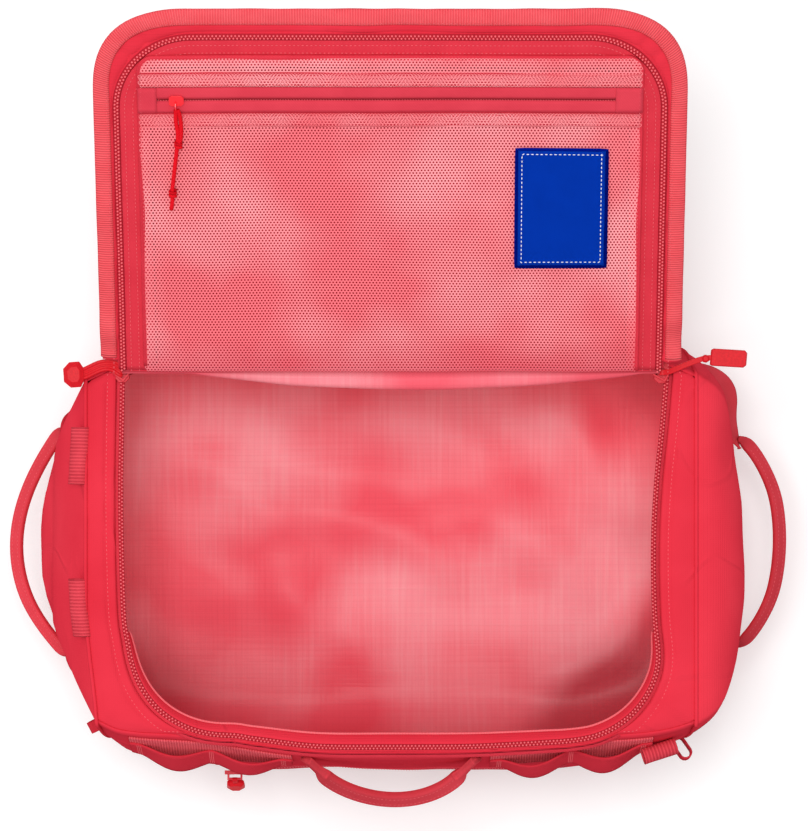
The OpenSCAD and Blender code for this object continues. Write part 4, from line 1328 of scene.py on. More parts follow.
FLAP_PROFILE = (
    (0.03, 0.2), (0.3, 0.7), (0.55, 1.3), (0.7, 1.7), (0.82, 1.6), (0.92, 1.0), (1.0, 0.0),
    (1.04, -0.8),
)
MITRES = (259, 273, lid_u_length - 257, lid_u_length - 269)
flap_rows = []
for i in range(421):
    s = 8 + (lid_u_length - 16) * i / 420
    p, n = lid_u(s)
    wide = flap_width(s)
    dent = 1.1 * math.exp(-(min(abs(s - at) for at in MITRES) / 2.4) ** 2)
    row = []
    for t, w in FLAP_PROFILE:
        d = -wide + (wide - 2.9) * t
        row.append(flap_place((p.x + n.x * d, p.y + n.y * d, w - dent)))
    flap_rows.append(row)
flap = sewn_sheet("lid_flap", flap_rows, shell_red, (0, 0, 1), SHELL_T)
fitted(flap, "lid", "shell_fabric", "lid_panel")


def grosgrain(name, base, shade, rib, axis=1):
    """Tape woven with ribs straight across it, on its own UV map."""
    made, tree, shader = new_material(name, 0.6)
    axes = strip_axes(tree)
    ribs = ripple(tree, axes[axis], rib)
    fine = ripple(tree, axes[1 - axis], 0.0007)
    both = maths(tree, "MULTIPLY_ADD", cloudy(tree, 60.0, 3.0), 2.2, ribs)
    paint_between(tree, shader, both, -0.6, 2.4, shade, base)
    raise_surface(tree, shader, maths(tree, "MULTIPLY_ADD", fine, 0.3, ribs), 0.0003)
    return made


binding_red = grosgrain("ribbed_binding", "#FF6A71", "#F0444F", 0.0019)
binding_profile = [
    (BINDING_W, 1.6), (BINDING_W - 1, 2.5), (8, 2.6), (4, 2.4), (1, 1.7), (-0.8, 0.8),
    (-1, -0.6), (-0.2, -1.8), (4, -2.4), (BINDING_W - 1, -2.2), (BINDING_W, -1.4),
]
binding_cloth = sewn_sheet(
    "lid_binding_cloth", lid_rows(binding_profile, 260, 0.25, 7.0, flap_width, flap_place, 10.0),
    binding_red, (0, 0, 1), 0.5, even=True,
)
fitted(binding_cloth, "lid", "binding", "lid_binding")

# Main zip, lid half
# The other half of the coil zip, sewn inside the flap with two rows of stitching. Its tape
# lies over the lid's lining.
TAPE_W = 24
lid_tape_profile = [(0.5, 1.0), (2.6, 1.5), (6, 1.9), (14, 1.7), (20, 1.8), (TAPE_W, 1.2)]
lid_tape = sewn_sheet(
    "lid_zip_cloth", lid_rows(lid_tape_profile, 220, 0.5, 2.0), tape_red, (0, 0, 1), 0.9, even=True
)
fitted(lid_tape, "lid", "zip_tape", "lid_zip_tape")


def lid_line(inward, w, edge=None, steps=380):
    line = []
    for i in range(steps + 1):
        s = lid_u_length * i / steps
        p, n = lid_u(s)
        d = inward - (edge(s) if edge else 0.0)
        line.append((p.x + n.x * d, p.y + n.y * d, w))
    return line


lid_teeth = grown("lid_zip_coil", teeth_tree, [lid_line(-0.4, 2.3)], TEETH, lid_point)
# Dark core under the lid's teeth: the coil's cord, painted dark as shade between them.
lid_shade_core = swept_piece(
    "lid_zip_shade_core", lid_line(-0.4, 1.75, steps=300), round_section(2.6, 0.5, 8), (0, 0, 1),
    shade_core_red, place=lid_point,
)
fitted(lid_shade_core, "lid", "zip_teeth")
fitted(lid_teeth, "lid", "zip_teeth", "lid_zip_teeth")
lid_stitches = grown(
    "lid_zip_stitches", stitch_tree, [lid_line(d, 2.4) for d in (6, 12)], STITCH, lid_point
)
fitted(lid_stitches, "lid", "zip_tape")
binding_stitches = grown(
    "lid_binding_stitches", stitch_tree, [lid_line(BINDING_W - 2.2, 2.8, flap_width)], STITCH,
    flap_place,
)
fitted(binding_stitches, "lid", "binding")

# Lid lining
# A plain red lining sewn in inside the zip tape. It lies flat on the lid and shows through
# the mesh's holes. Its red is painted darker, as painted shade under the mesh.


def lid_lining_place(t, across):
    v = 4 + (LID_LENGTH - TAPE_W - 6) * t
    widest = LID_HALF - TAPE_W + 1
    half = max(lid_half(v + TAPE_W, TAPE_W), 8) if v > 150 else widest
    return lid_point((min(half, widest) * (2 * across - 1), v, 0.9))


# The lid lining's red is painted dark: painted shade, seen through the mesh's holes.
lid_lining_painted_dark = tarpaulin("red_lid_lining_painted_shade", "#CE3341", "#C02636")
lid_lining = sewn_sheet(
    "lid_lining_cloth", strip(40, 50, lid_lining_place), lid_lining_painted_dark, (0, 0, 1)
)
fitted(lid_lining, "lid", "lining_fabric", "lid_lining")

# Mesh pocket
# Knitted mesh in two pieces, above and below the pocket's zip, with a turned hem round
# the outside. The knit's holes lie in staggered rows.
NET_HALF, NET_LOW, NET_HIGH = 186, 1, 261
NET_CORNER_R = 12
NET_W = 4.9
NET_PITCH = 2.5
ROW_PITCH = 0.866
POCKET_LOW, POCKET_HIGH = POCKET_V - 10, POCKET_V + 10


def net_tree(name):
    """A sheet of six-sided holes: a staggered lattice, its dual cells, and a rim in each."""
    tree, given = new_tree(
        name,
        [("Columns", "Int"), ("Rows", "Int"), ("Pitch", "Float"), ("Hole", "Float"),
         ("Finish", "Material")],
    )
    tall = maths(tree, "MULTIPLY", given["Pitch"], ROW_PITCH)
    points_y = maths(tree, "ADD", given["Rows"], 1.0)
    lattice = add_node(
        tree, "GeometryNodeMeshGrid",
        {"Size X": maths(tree, "MULTIPLY", given["Columns"], given["Pitch"]),
         "Size Y": maths(tree, "MULTIPLY", given["Rows"], tall),
         "Vertices X": maths(tree, "ADD", given["Columns"], 1.0), "Vertices Y": points_y},
    )
    index = add_node(tree, "GeometryNodeInputIndex").outputs[0]
    odd = maths(tree, "MODULO", maths(tree, "MODULO", index, points_y), 2.0)
    push = maths(tree, "MULTIPLY", maths(tree, "MULTIPLY", odd, 0.5), given["Pitch"])
    shift = add_node(tree, "ShaderNodeCombineXYZ", {0: push})
    staggered = add_node(
        tree, "GeometryNodeSetPosition",
        {"Geometry": lattice.outputs[0], "Offset": shift.outputs[0]},
    )
    thirds = add_node(
        tree, "GeometryNodeTriangulate", {"Mesh": staggered.outputs[0]},
        quad_method="SHORTEST_DIAGONAL",
    )
    cells = add_node(tree, "GeometryNodeDualMesh", {"Mesh": thirds.outputs[0]})
    rimmed = add_node(
        tree, "GeometryNodeExtrudeMesh",
        {"Mesh": cells.outputs[0], "Offset Scale": 0.0, "Individual": True}, mode="FACES",
    ).outputs
    shrunk = add_node(
        tree, "GeometryNodeScaleElements",
        {"Geometry": rimmed["Mesh"], "Selection": rimmed["Top"], "Scale": given["Hole"]},
        domain="FACE",
    )
    open_net = add_node(
        tree, "GeometryNodeDeleteGeometry",
        {"Geometry": shrunk.outputs[0], "Selection": rimmed["Top"]}, domain="FACE",
    )
    real = add_node(tree, "GeometryNodeRealizeInstances", {"Geometry": open_net.outputs[0]})
    coated = add_node(
        tree, "GeometryNodeSetMaterial", {"Geometry": real.outputs[0], "Material": given["Finish"]}
    )
    add_node(tree, "NodeGroupOutput", {"Geometry": coated.outputs[0]})
    return tree


knit_tree = net_tree("knitted_mesh")


def knit(name, base, pale):
    """Matt polyester yarn, paler in broad patches at random as painted highlight, where folds of
    the mesh would catch the light, and darker beside the hinge as painted shade."""
    made, tree, shader = new_material(name, 0.6)
    highlight_patches = map_range(tree, cloudy(tree, 11.0, 2.0), 0.36, 0.66)
    tone = blend_colours(tree, highlight_patches, colour(base), colour(pale))
    back = add_node(tree, "ShaderNodeSeparateXYZ", {0: on_object(tree)}).outputs[1]
    hinge_shade = map_range(tree, back, (hinge_y - 1) * MM, (hinge_y + 26) * MM, 0.6, 0.0)
    tone = blend_colours(tree, hinge_shade, tone, colour("#D8485A"))
    tree.links.new(tone, shader.inputs["Base Color"])
    raise_surface(tree, shader, cloudy(tree, 1500.0, 1.0), 0.0002)
    return made


# The paler pink is painted highlight, and the darker red beside the hinge is painted shade.
net_pink = knit("pink_mesh", "#F4747D", "#FB9EA4")


def net(name, v_low, v_high, *nodes, pitch=NET_PITCH, hole=0.54, height=NET_W, slack_mm=0.9):
    columns = round(2 * NET_HALF / pitch)
    rows = round((v_high - v_low) / (pitch * ROW_PITCH))
    middle = (v_low + v_high) / 2
    r = NET_CORNER_R

    def place(p):
        v = p.y + middle
        sag = slack_mm * noise.noise(Vector((p.x / 55, v / 55, 6.0)))
        rise = min(max(v - NET_HIGH + r, 0), r)
        limit = NET_HALF - r + math.sqrt(r * r - rise ** 2)
        return lid_point((min(max(p.x - pitch / 4, -limit), limit), v, height + sag))

    made = grown(
        name, knit_tree, [[(0, 0, 0), (0, 1, 0)]],
        {"Columns": columns, "Rows": rows, "Pitch": pitch * MM, "Hole": hole, "Finish": net_pink},
        place,
    )
    fitted(made, "lid", "mesh", *nodes)


net("lower_net", NET_LOW, POCKET_LOW - 0.5, "mesh_lower")
net("upper_net", POCKET_HIGH + 0.5, NET_HIGH, "mesh_upper")


def pocket_edge(inset, w):
    """The sewn edge of the mesh: up one side, across under the front zip and down the other."""
    half, high, r = NET_HALF - inset, NET_HIGH - inset, NET_CORNER_R - inset
    line = [(half, v) for v in range(2, int(high - r), 5)]
    for first, cx in ((0, half - r), (90, -half + r)):
        for a in range(first, first + 91, 10):
            turn = math.radians(a)
            line.append((cx + r * math.cos(turn), high - r + r * math.sin(turn)))
        if first == 0:
            line += [(half - r - 5 * k, high) for k in range(1, int(2 * (half - r) / 5))]
    line += [(-half, v) for v in range(int(high - r) - 3, 1, -5)]
    return [(x, v, w) for x, v in line]


hem_section = [
    (0.6, 1.2), (0.8, 3.4), (0.4, 4.9), (-0.6, 5.1), (-2.5, 4.5), (-5, 3.5), (-7.5, 2.7),
    (-9.6, 2.2), (-5, 1.2),
]
net_hem = swept_piece(
    "mesh_hem", pocket_edge(0, 0), hem_section, (0, 0, 1), tape_red, place=lid_point
)
fitted(net_hem, "lid", "mesh", "mesh_edge")
hem_stitches = grown(
    "mesh_hem_stitches", stitch_tree, [pocket_edge(2.2, 5.7)], STITCH, lid_point
)
fitted(hem_stitches, "lid", "mesh")

# Pocket zip
# A closed coil zip turned face down between two folded mesh trims, so that only its flat
# tapes and a thin dark line between them show. Plain patches cover its two ends.
tape_plain = twill("pocket_zip_tape", "#EA4A5A", "#D23748", 0.0012)
TRIM_W = 11.6
PATCH_LIFT, TAPE_LIFT, COIL_LIFT = 5.9, 5.4, 4.0


def along_pocket(inset, t):
    """Across the lid, from one end of the pocket's zip to the other."""
    return (NET_HALF - inset) * (2 * t - 1)


def pocket_tape(word, low, high, slit, *nodes):
    """One flat tape, turned down a little along the slit between the two."""

    def place(t, k):
        down = 0.7 if k == slit else 0
        return lid_point((along_pocket(2, t), low + (high - low) * k, TAPE_LIFT - down))

    made = sewn_sheet(f"pocket_tape_{word}", strip(80, 4, place), tape_plain, (0, 0, 1), 0.8)
    fitted(made, "lid", "zip_tape", *nodes)


pocket_tape("lower", POCKET_LOW, POCKET_V - 0.6, 1, "pocket_tape")
pocket_tape("upper", POCKET_V + 0.6, POCKET_HIGH, 0)
pocket_coil = grown(
    "pocket_zip_coil", teeth_tree,
    [[(along_pocket(8, k / 60), POCKET_V, COIL_LIFT) for k in range(61)]],
    bead_sizes(2.0, 1.2, 2.0, 1.6, highlit_teeth_red), lid_point,
)
fitted(pocket_coil, "lid", "zip_teeth", "pocket_teeth")
trim_red = tarpaulin("red_trim_back", "#C8323F", "#B82836")


def mesh_trim(word, low, *nodes):
    """Mesh folded double over a backing, which shows through its holes."""

    def place(t, k):
        x = along_pocket(2, t)
        waver = 0.3 * noise.noise(Vector((x / 20, low, 2)))
        return lid_point((x, low + TRIM_W * k + waver, 5.0 + 0.6 * math.sin(math.pi * k) ** 0.5))

    made = sewn_sheet(f"mesh_trim_{word}", strip(80, 6, place), trim_red, (0, 0, 1), 0.5)
    fitted(made, "lid", "mesh", *nodes)
    for layer, pitch, hole, height in (("fold", 2.62, 0.76, 6.3), ("fold_under", 2.35, 0.8, 5.9)):
        net(
            f"mesh_{layer}_{word}", low, low + TRIM_W, pitch=pitch, hole=hole, height=height,
            slack_mm=0.0,
        )


mesh_trim("lower", POCKET_LOW - 11.8, "mesh_zip_trim")
mesh_trim("upper", POCKET_HIGH + 0.2)
trim_lines = [
    [(along_pocket(4, k / 90), v, 6.8) for k in range(91)]
    for v in (POCKET_LOW - 2.2, POCKET_HIGH + 2.2)
]
trim_stitches = grown("pocket_stitches", stitch_tree, trim_lines, STITCH, lid_point)
fitted(trim_stitches, "lid", "mesh")


def end_patch(name, low, high, *nodes):
    rows = strip(
        6, 6, lambda t, k: lid_point((low + (high - low) * t, POCKET_LOW + 20 * k, PATCH_LIFT))
    )
    fitted(sewn_sheet(name, rows, tape_plain, (0, 0, 1), 0.5), "lid", "zip_tape", *nodes)


end_patch("pocket_end_0", -NET_HALF, -NET_HALF + 14, "pocket_end_patches")
end_patch("pocket_end_1", NET_HALF - 20, NET_HALF)

# Sewn patch
# A plain blue woven patch with a darker edge, held on the mesh by one row of white
# stitches.
PATCH_W, PATCH_H = 67, 96
PATCH_X, PATCH_V = 127, 139
PATCH_UP = 6.1
patch_blue = grosgrain("blue_patch", "#0A48DA", "#0840C8", 0.0006)
patch_edge_blue = grosgrain("blue_patch_edge", "#0420A8", "#021690", 0.0009)


def patch_place(t, up):
    return lid_point((PATCH_X + PATCH_W * (t - 0.5), PATCH_V + PATCH_H * (up - 0.5), PATCH_UP))


def patch_outline(inset, w):
    """Points round the patch, no more than 6 mm apart."""
    half_w, half_h = PATCH_W / 2 - inset, PATCH_H / 2 - inset
    corners = [
        Vector((PATCH_X + a * half_w, PATCH_V + b * half_h, w))
        for a, b in ((1, 1), (-1, 1), (-1, -1), (1, -1))
    ]
    line = []
    for a, b in zip(corners, corners[1:] + corners[:1]):
        count = math.ceil((b - a).length / 6)
        line += [a + (b - a) * k / count for k in range(count)]
    return line


patch = sewn_sheet("label_cloth", strip(20, 24, patch_place), patch_blue, (0, 0, 1), 0.7)
patch_edge = swept_piece(
    "label_edge", patch_outline(0, PATCH_UP), round_section(1.3, 0.7, 8), (0, 0, 1),
    patch_edge_blue, closed=True, place=lid_point,
)
thread_white = moulded("white_thread", "#F4F6FF", 0.5)
patch_inset = patch_outline(4, PATCH_UP + 0.3)
patch_stitches = grown(
    "label_stitches", stitch_tree, [patch_inset + patch_inset[:1]],
    bead_sizes(3.4, 2.6, 0.9, 0.6, thread_white), lid_point,
)
fitted(patch, "lid", "label", "label_patch")
fitted(patch_edge, "lid", "label")
fitted(patch_stitches, "lid", "label")

# Webbing on front and back
# A band of ribbed webbing is sewn level along the front and back. Over it a smooth strap
# is tacked down every few centimetres and stands off between the tacks as lashing loops.
WEB_Z = joint_at["front_handle_swing"].z
TACKS = (-196, -140, -84, 84, 140, 196)
LOOPS_FROM = (-196, -140, 84, 140)
LOOP_L, LOOP_RISE = 56, 9.0
BAND_L = 126
BAND_TOP, BAND_H = 21, 32
LASH_TOP, LASH_H = 11, 23
web_red = grosgrain("ribbed_webbing", "#FF6C76", "#D43C4A", 0.0021)
strap_red = twill("smooth_strap", "#E43B4B", "#D42E3E", 0.0008)


def loop_rise(x):
    """How far the lashing strap stands off its webbing at a place along it."""
    for a in LOOPS_FROM:
        if a <= x <= a + LOOP_L:
            t = (x - a) / LOOP_L
            return LOOP_RISE * math.sin(math.pi * t) ** 1.4 * (1 + 0.1 * math.sin(a))
    return 0.0


def webbing(word, side, end, low):
    """One length of band, and the lashing strap over it."""

    def band_place(t, down):
        return wall_place(low + BAND_L * t, WEB_Z + BAND_TOP - BAND_H * down, 1.7, side)

    def lash_place(t, down):
        x = low + BAND_L * t
        out = 3.4 + loop_rise(x) * (0.82 + 0.26 * down)
        return wall_place(x, WEB_Z + LASH_TOP - LASH_H * down, out, side)

    pair = [
        sewn_sheet(f"{word}_{kind}_{end}", strip(90, 8, place), finish, (0, side, 0), 1.5)
        for kind, place, finish in (
            ("web_band", band_place, web_red), ("lash_strap", lash_place, strap_red),
        )
    ]
    return [fitted(made, "bag", "webbing") for made in pair]


for side, word in ((-1, "front"), (1, "back")):
    band, lash = webbing(word, side, "left", -203)
    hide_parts(f"{word}_webbing")
    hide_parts(f"{word}_lash_loops")
    webbing(word, side, "right", 77)
    tacks = [
        [wall_place(x + shift, WEB_Z - 10 + 20 * k / 6, 3.6, side) for k in range(7)]
        for x in TACKS for shift in (-1.4, 0, 1.4)
    ]
    bartacks = grown(
        f"{word}_bar_tacks", stitch_tree, tacks, bead_sizes(1.0, 1.5, 0.9, 0.7, thread_pink)
    )
    fitted(bartacks, "bag", "webbing")

# Handles
# Grab handles of webbing folded lengthwise and stitched into a firm round-edged strap, which
# keeps its arch. Their flat ends are sewn to the shell under tabs.
handle_red = twill("handle_webbing", "#F0505C", "#DA3D49", 0.0010)


def folded_section(half_w, half_t):
    """Folded webbing: a rounded oblong with a stitched groove near each edge."""
    out = []
    for k in range(28):
        a = 2 * math.pi * k / 28
        c, s = math.cos(a), math.sin(a)
        x = half_w * math.copysign(abs(c) ** 0.6, c)
        t = half_t * math.copysign(abs(s) ** 0.6, s)
        dip = 1 - 0.22 * math.exp(-((abs(x) - half_w * 0.42) / 0.9) ** 2)
        out.append((x, t * dip))
    return out


def arch(hinge, along, outward, span, reach, droop, slim, skew):
    """Handle line about its hinge: an arch in a plane that leans down by its droop. A larger
    slimness is more pointed, and the skew moves its furthest point along."""
    along, outward = Vector(along), Vector(outward)
    tilt = math.radians(droop)
    lean = outward * math.cos(tilt) - Vector((0, 0, 1)) * math.sin(tilt)
    line = []
    for k in range(49):
        a = math.pi * k / 48
        shift = span * math.cos(a) + skew * math.sin(a) ** 2
        line.append(hinge + along * shift + lean * reach * math.sin(a) ** slim)
    return line, along.cross(lean)


def resized(rows, path, share):
    """Rows drawn towards or away from their path, by a share for each."""
    return [[p + (q - p) * share(i) for q in rows[i]] for i, p in enumerate(path)]


# Directions along and out, half span, reach, droop, slimness and skew
handle_sizes = {
    "front_handle": ((1, 0, 0), (0, -1, 0), 55, 29.5, 35, 1.5, 3),
    "back_handle": ((1, 0, 0), (0, 1, 0), 44, 29, 70, 1.15, 0),
    "left_handle": ((0, 1, 0), (-1, 0, 0), 92, 41, 20, 2.1, -4),
    "right_handle": ((0, 1, 0), (1, 0, 0), 84, 34, 20, 1.3, 2),
}
for name, (along, outward, span, reach, droop, slim, skew) in handle_sizes.items():
    hinge = joint_at[f"{name}_swing"]
    line, flat = arch(hinge, along, outward, span, reach, droop, slim, skew)
    wide, least = (6.0, 0.7) if along[0] else (5.3, 0.45)
    last = len(line) - 1
    rows = resized(
        swept(line, folded_section(wide, 0.72 * wide), flat), line,
        lambda i: least + (1 - least) * smooth_step(0, 6, min(i, last - i)),
    )
    fitted(tube(f"{name}_strap", rows, handle_red), name, "webbing", name)
    seam_lines = [
        [row[0] for row in swept(line[7:-7], [(edge * wide, face * wide)], flat)]
        for edge in (-0.43, 0.43) for face in (0.61, -0.61)
    ]
    fitted(grown(f"{name}_stitches", stitch_tree, seam_lines, STITCH), name, "webbing")

# Handle tabs
# The ends of the front and back handles run up the wall to the webbing, where they are
# tacked down flat.
TAB_START = {-1: 53, 1: 43}
TAB_SPREAD, TAB_RISE = 13, 24
slope = 2 * wall_k * (WEB_Z - BULGE_Z)
for side, word in ((-1, "front"), (1, "back")):
    for sign, end in ((-1, "left"), (1, "right")):
        path = []
        for k in range(16):
            t = (k - 3) / 12
            z = WEB_Z + (TAB_RISE * t ** 1.1 if t > 0 else 6 * t)
            out = 2.6 + 7.4 * (1 - t) ** 1.2
            path.append(wall_place(sign * (TAB_START[side] + TAB_SPREAD * t), z, out, side))
        rows = resized(
            swept(path, folded_section(3.0, 5.2), (0, -side * slope, 1)), path,
            lambda i: 1 + 0.25 * (1 - smooth_step(2, 9, i)) * smooth_step(-1.5, 1, i),
        )
        nodes = [f"{word}_handle_tabs"] if sign < 0 else []
        fitted(tube(f"{word}_tab_{end}", rows, handle_red), "bag", "webbing", *nodes)

# End straps
# The end handles run on as flat straps round the corners of the bag. At the right back
# corner the strap has slack and stands away from the cloth.
STRAP_W, STRAP_T = 25, 2.2
SLACK_W = 17
SLACK_STRAP = [(285, 90), (280.5, 103), (276, 116), (269.5, 130), (258, 140), (243, 147)]


def band_section(width, thick, steps=10):
    w, t = width / 2, thick / 2
    up_side = [(t, -w + 2 * w * k / steps) for k in range(steps + 1)]
    return up_side + [(-a, b) for a, b in reversed(up_side)]


def end_face(side, y, z):
    """How far out an end panel stands at a place."""
    edge = plan(seam_x)
    low, high = 0.0, 1.0
    for _ in range(26):
        f = (low + high) / 2
        zz = MID_Z + (z - MID_Z) / max(f, 1e-4)
        inside = 0 < zz < rim_h and abs(y) < wall(min(max(zz, base_r), wall_top)) * edge * f
        low, high = (low, f) if inside else (f, high)
    return seam_x + (half_l - seam_x) * (1 - high ** END_FULLNESS[side])


def tight_strap(side, sign, swing, span):
    """From a handle's root flat on the end panel to the end seam."""
    seam_y = wall(swing.z) * plan(seam_x) - 1
    path = []
    for k in range(25):
        t = k / 24
        y = sign * (span - 4 + (seam_y - span + 4) * t)
        x = end_face(side, y, swing.z) + 2.6
        root = max(0, 1 - t * 3.2)
        x = max(x, x * (1 - root) + (abs(swing.x) - 1.0) * root)
        if side > 0:
            x -= right_taper(y) * min(1, 3 * t)
        else:
            x += 1.2 * math.sin(math.pi * min(t * 1.1, 1))
        x *= side
        path.append((x, y - back_pinch(x, y, swing.z), swing.z + 1.2 * math.sin(5 * t + side)))
    return path


for side, sign, name in (
    (-1, -1, "left_strap_front"), (-1, 1, "left_strap_back"),
    (1, -1, "right_strap_front"), (1, 1, "right_strap_back"),
):
    word = name.split("_")[0]
    swing = joint_at[f"{word}_handle_swing"]
    if side > 0 and sign > 0:
        path = smooth_path([(x, y, swing.z) for x, y in [(swing.x + 1, 76), *SLACK_STRAP]], 5)
        last = len(path) - 1
        stand = [(-1.7 * math.sin(math.pi * k / last), 0, 1) for k in range(last + 1)]
        section, finish = band_section(SLACK_W, STRAP_T), handle_red
    else:
        path = tight_strap(side, sign, swing, handle_sizes[f"{word}_handle"][2])
        stand = (0, 0, 1)
        section, finish = band_section(STRAP_W, STRAP_T), strap_red
    nodes = [f"{word}_end_straps"] if sign < 0 else []
    fitted(swept_piece(name, path, section, stand, finish), "bag", "webbing", *nodes)

# Strap sleeves
# Short ribbed tubes of webbing on the left end and at the front right corner, where a
# carrying strap is threaded through.
rib_red = grosgrain("ribbed_sleeve", "#F4525F", "#C4303E", 0.0026, axis=0)


def stadium(wide, tall, wall_t):
    """A flattened ring along the middle of its wall, as across and up."""
    steps = 8
    r = tall / 2 - wall_t / 2
    half = wide / 2 - tall / 2
    line = []
    for cx, first in ((half, -90), (-half, 90)):
        for k in range(steps + 1):
            a = math.radians(first + 180 * k / steps)
            line.append((cx + r * math.cos(a), r * math.sin(a)))
    return line


def sleeve(name, centre, axis, across, size, material, *nodes):
    """A flattened tube by its length, width and height. Its webbing runs round it, and the
    ribs lie along the tube."""
    length, wide, tall = size
    axis, across = Vector(axis).normalized(), Vector(across).normalized()
    up = axis.cross(across)
    path = [Vector(centre) + across * a + up * b for a, b in stadium(wide, tall, 1.4)]
    face = [(0.75, -length / 2 + length * k / 16) for k in range(17)]
    section = face + [(-a, b) for a, b in reversed(face)]
    made = swept_piece(name, path, section, axis, material, closed=True)
    fitted(made, "bag", "webbing", *nodes)


def box_middle(node):
    low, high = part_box(node)
    return (low + high) / 2 / MM


left_mid = box_middle("left_strap_sleeves") + Vector((5, 0, 3))
sleeve_tilt = math.radians(32)
left_across = (-math.cos(sleeve_tilt), 0, -math.sin(sleeve_tilt))
sleeve(
    "left_sleeve_0", (left_mid.x, 72, left_mid.z), (0.06, 1, 0), left_across, (44, 15, 11),
    rib_red, "left_strap_sleeves",
)
sleeve(
    "left_sleeve_1", (left_mid.x, -45, left_mid.z), (-0.06, 1, 0), left_across, (44, 15, 11),
    rib_red,
)
sleeve_turn = math.radians(18)
sleeve(
    "front_sleeve", box_middle("front_strap_sleeve") + Vector((-7, -1.5, 0)),
    (math.cos(sleeve_turn), math.sin(sleeve_turn), 0), (0, slope, 1), (27, 17, 12), rib_red,
    "front_strap_sleeve",
)

# Corner loops
# Loops of narrow webbing caught in the end seams at the two front corners. The left one is
# pressed flat against its corner and the right one stands up.
CORNER_X = 231
corner = Vector((CORNER_X, 0, box_middle("corner_loops").z))
corner.y = -wall(corner.z) * plan(CORNER_X) - 8
sleeve(
    "corner_loop_left", Vector((-corner.x, corner.y, corner.z)) + Vector((-13, 18.5, 4)),
    (-0.45, 0.9, 0.1), (-0.88, -0.44, -0.1), (9, 11, 7), strap_red, "corner_loops",
)
loop_turn = math.radians(55)
sleeve(
    "corner_loop_right", corner, (0, 0.27, 1), (math.cos(loop_turn), -math.sin(loop_turn), 0),
    (9, 20, 11), strap_red,
)

# Front pocket zip
# A zipped pocket behind the front panel: a taped coil zip set in a slot and sewn round it,
# seen only from the front.
FRONT_ZIP_HALF = 140
FRONT_TAPE_H = 20
pocket_z = box_middle("front_pocket_tape").z


def front_place(t, up, out=0.7, inset=0):
    """A place on the front wall, by shares along the zip and up its tape."""
    x = (FRONT_ZIP_HALF - inset) * (2 * t - 1)
    return wall_place(x, pocket_z + FRONT_TAPE_H * (up - 0.5), out, -1)


front_tape = sewn_sheet(
    "front_pocket_cloth", strip(60, 4, front_place), tape_plain, (0, -1, 0), 1.0
)
fitted(front_tape, "bag", "zip_tape", "front_pocket_tape")
front_coil = grown(
    "front_pocket_coil", stitch_tree, [[front_place(k / 80, 0.5, 0.3, 6) for k in range(81)]],
    bead_sizes(2.2, 1.6, 2.2, 2.4, highlit_teeth_red),
)
fitted(front_coil, "bag", "zip_teeth", "front_pocket_teeth")
front_stitches = grown(
    "front_pocket_stitches", stitch_tree,
    [[front_place(k / 60, up, 0.0, 2) for k in range(61)] for up in (0.125, 0.875)], STITCH,
)
fitted(front_stitches, "bag", "zip_tape")

# Sliders
# Die-cast sliders enamelled red. Each has two plates round the coil joined by a post, and a
# square bail on top for the pull to hang on. The pocket's slider is smaller.
enamel = moulded("red_enamel", "#DA2E3C", 0.35, 0.12)


def slab(outline, low, high, chamfer=0.0):
    """A flat plate from an outline, with its upper and lower edges cut back."""
    n = len(outline)
    mid_x, mid_y = (sum(p[axis] for p in outline) / n for axis in (0, 1))
    rings = [(low, 1), (high, 1)]
    if chamfer:
        cut = (high - low) * 0.3
        rings = [(low, 1 - chamfer), (low + cut, 1), (high - cut, 1), (high, 1 - chamfer)]
    points = [
        (mid_x + (x - mid_x) * k, mid_y + (y - mid_y) * k, z) for z, k in rings for x, y in outline
    ]
    faces = [
        [r * n + i, r * n + (i + 1) % n, (r + 1) * n + (i + 1) % n, (r + 1) * n + i]
        for r in range(len(rings) - 1) for i in range(n)
    ]
    last = (len(rings) - 1) * n
    return points, faces + [list(range(n))[::-1], list(range(last, last + n))]


def bar_loop(path, section, up, closed=True):
    rows = swept([Vector(p) for p in path], section, up, closed)
    points, faces, _ = grid(rows + rows[:1] if closed else rows, wrap=True, caps=not closed)
    return points, faces


def soften(made, width, segments=2):
    """A small bevel on every sharp edge."""
    soft = made.modifiers.new("soft_edges", "BEVEL")
    soft.width = width * MM
    soft.segments = segments
    soft.limit_method = "ANGLE"
    return soft


def assembled(name, parts, material, place, edge):
    """Several shapes in one casting, set in place and with softened edges."""
    points, faces = [], []
    for more, sides in parts:
        faces += [[i + len(points) for i in face] for face in sides]
        points += [place(Vector(p)) for p in more]
    made = piece(name, points, faces, material)
    soften(made, edge).harden_normals = True
    return made


def oblong(half_x, half_y):
    return [(-half_x, -half_y), (half_x, -half_y), (half_x, half_y), (-half_x, half_y)]


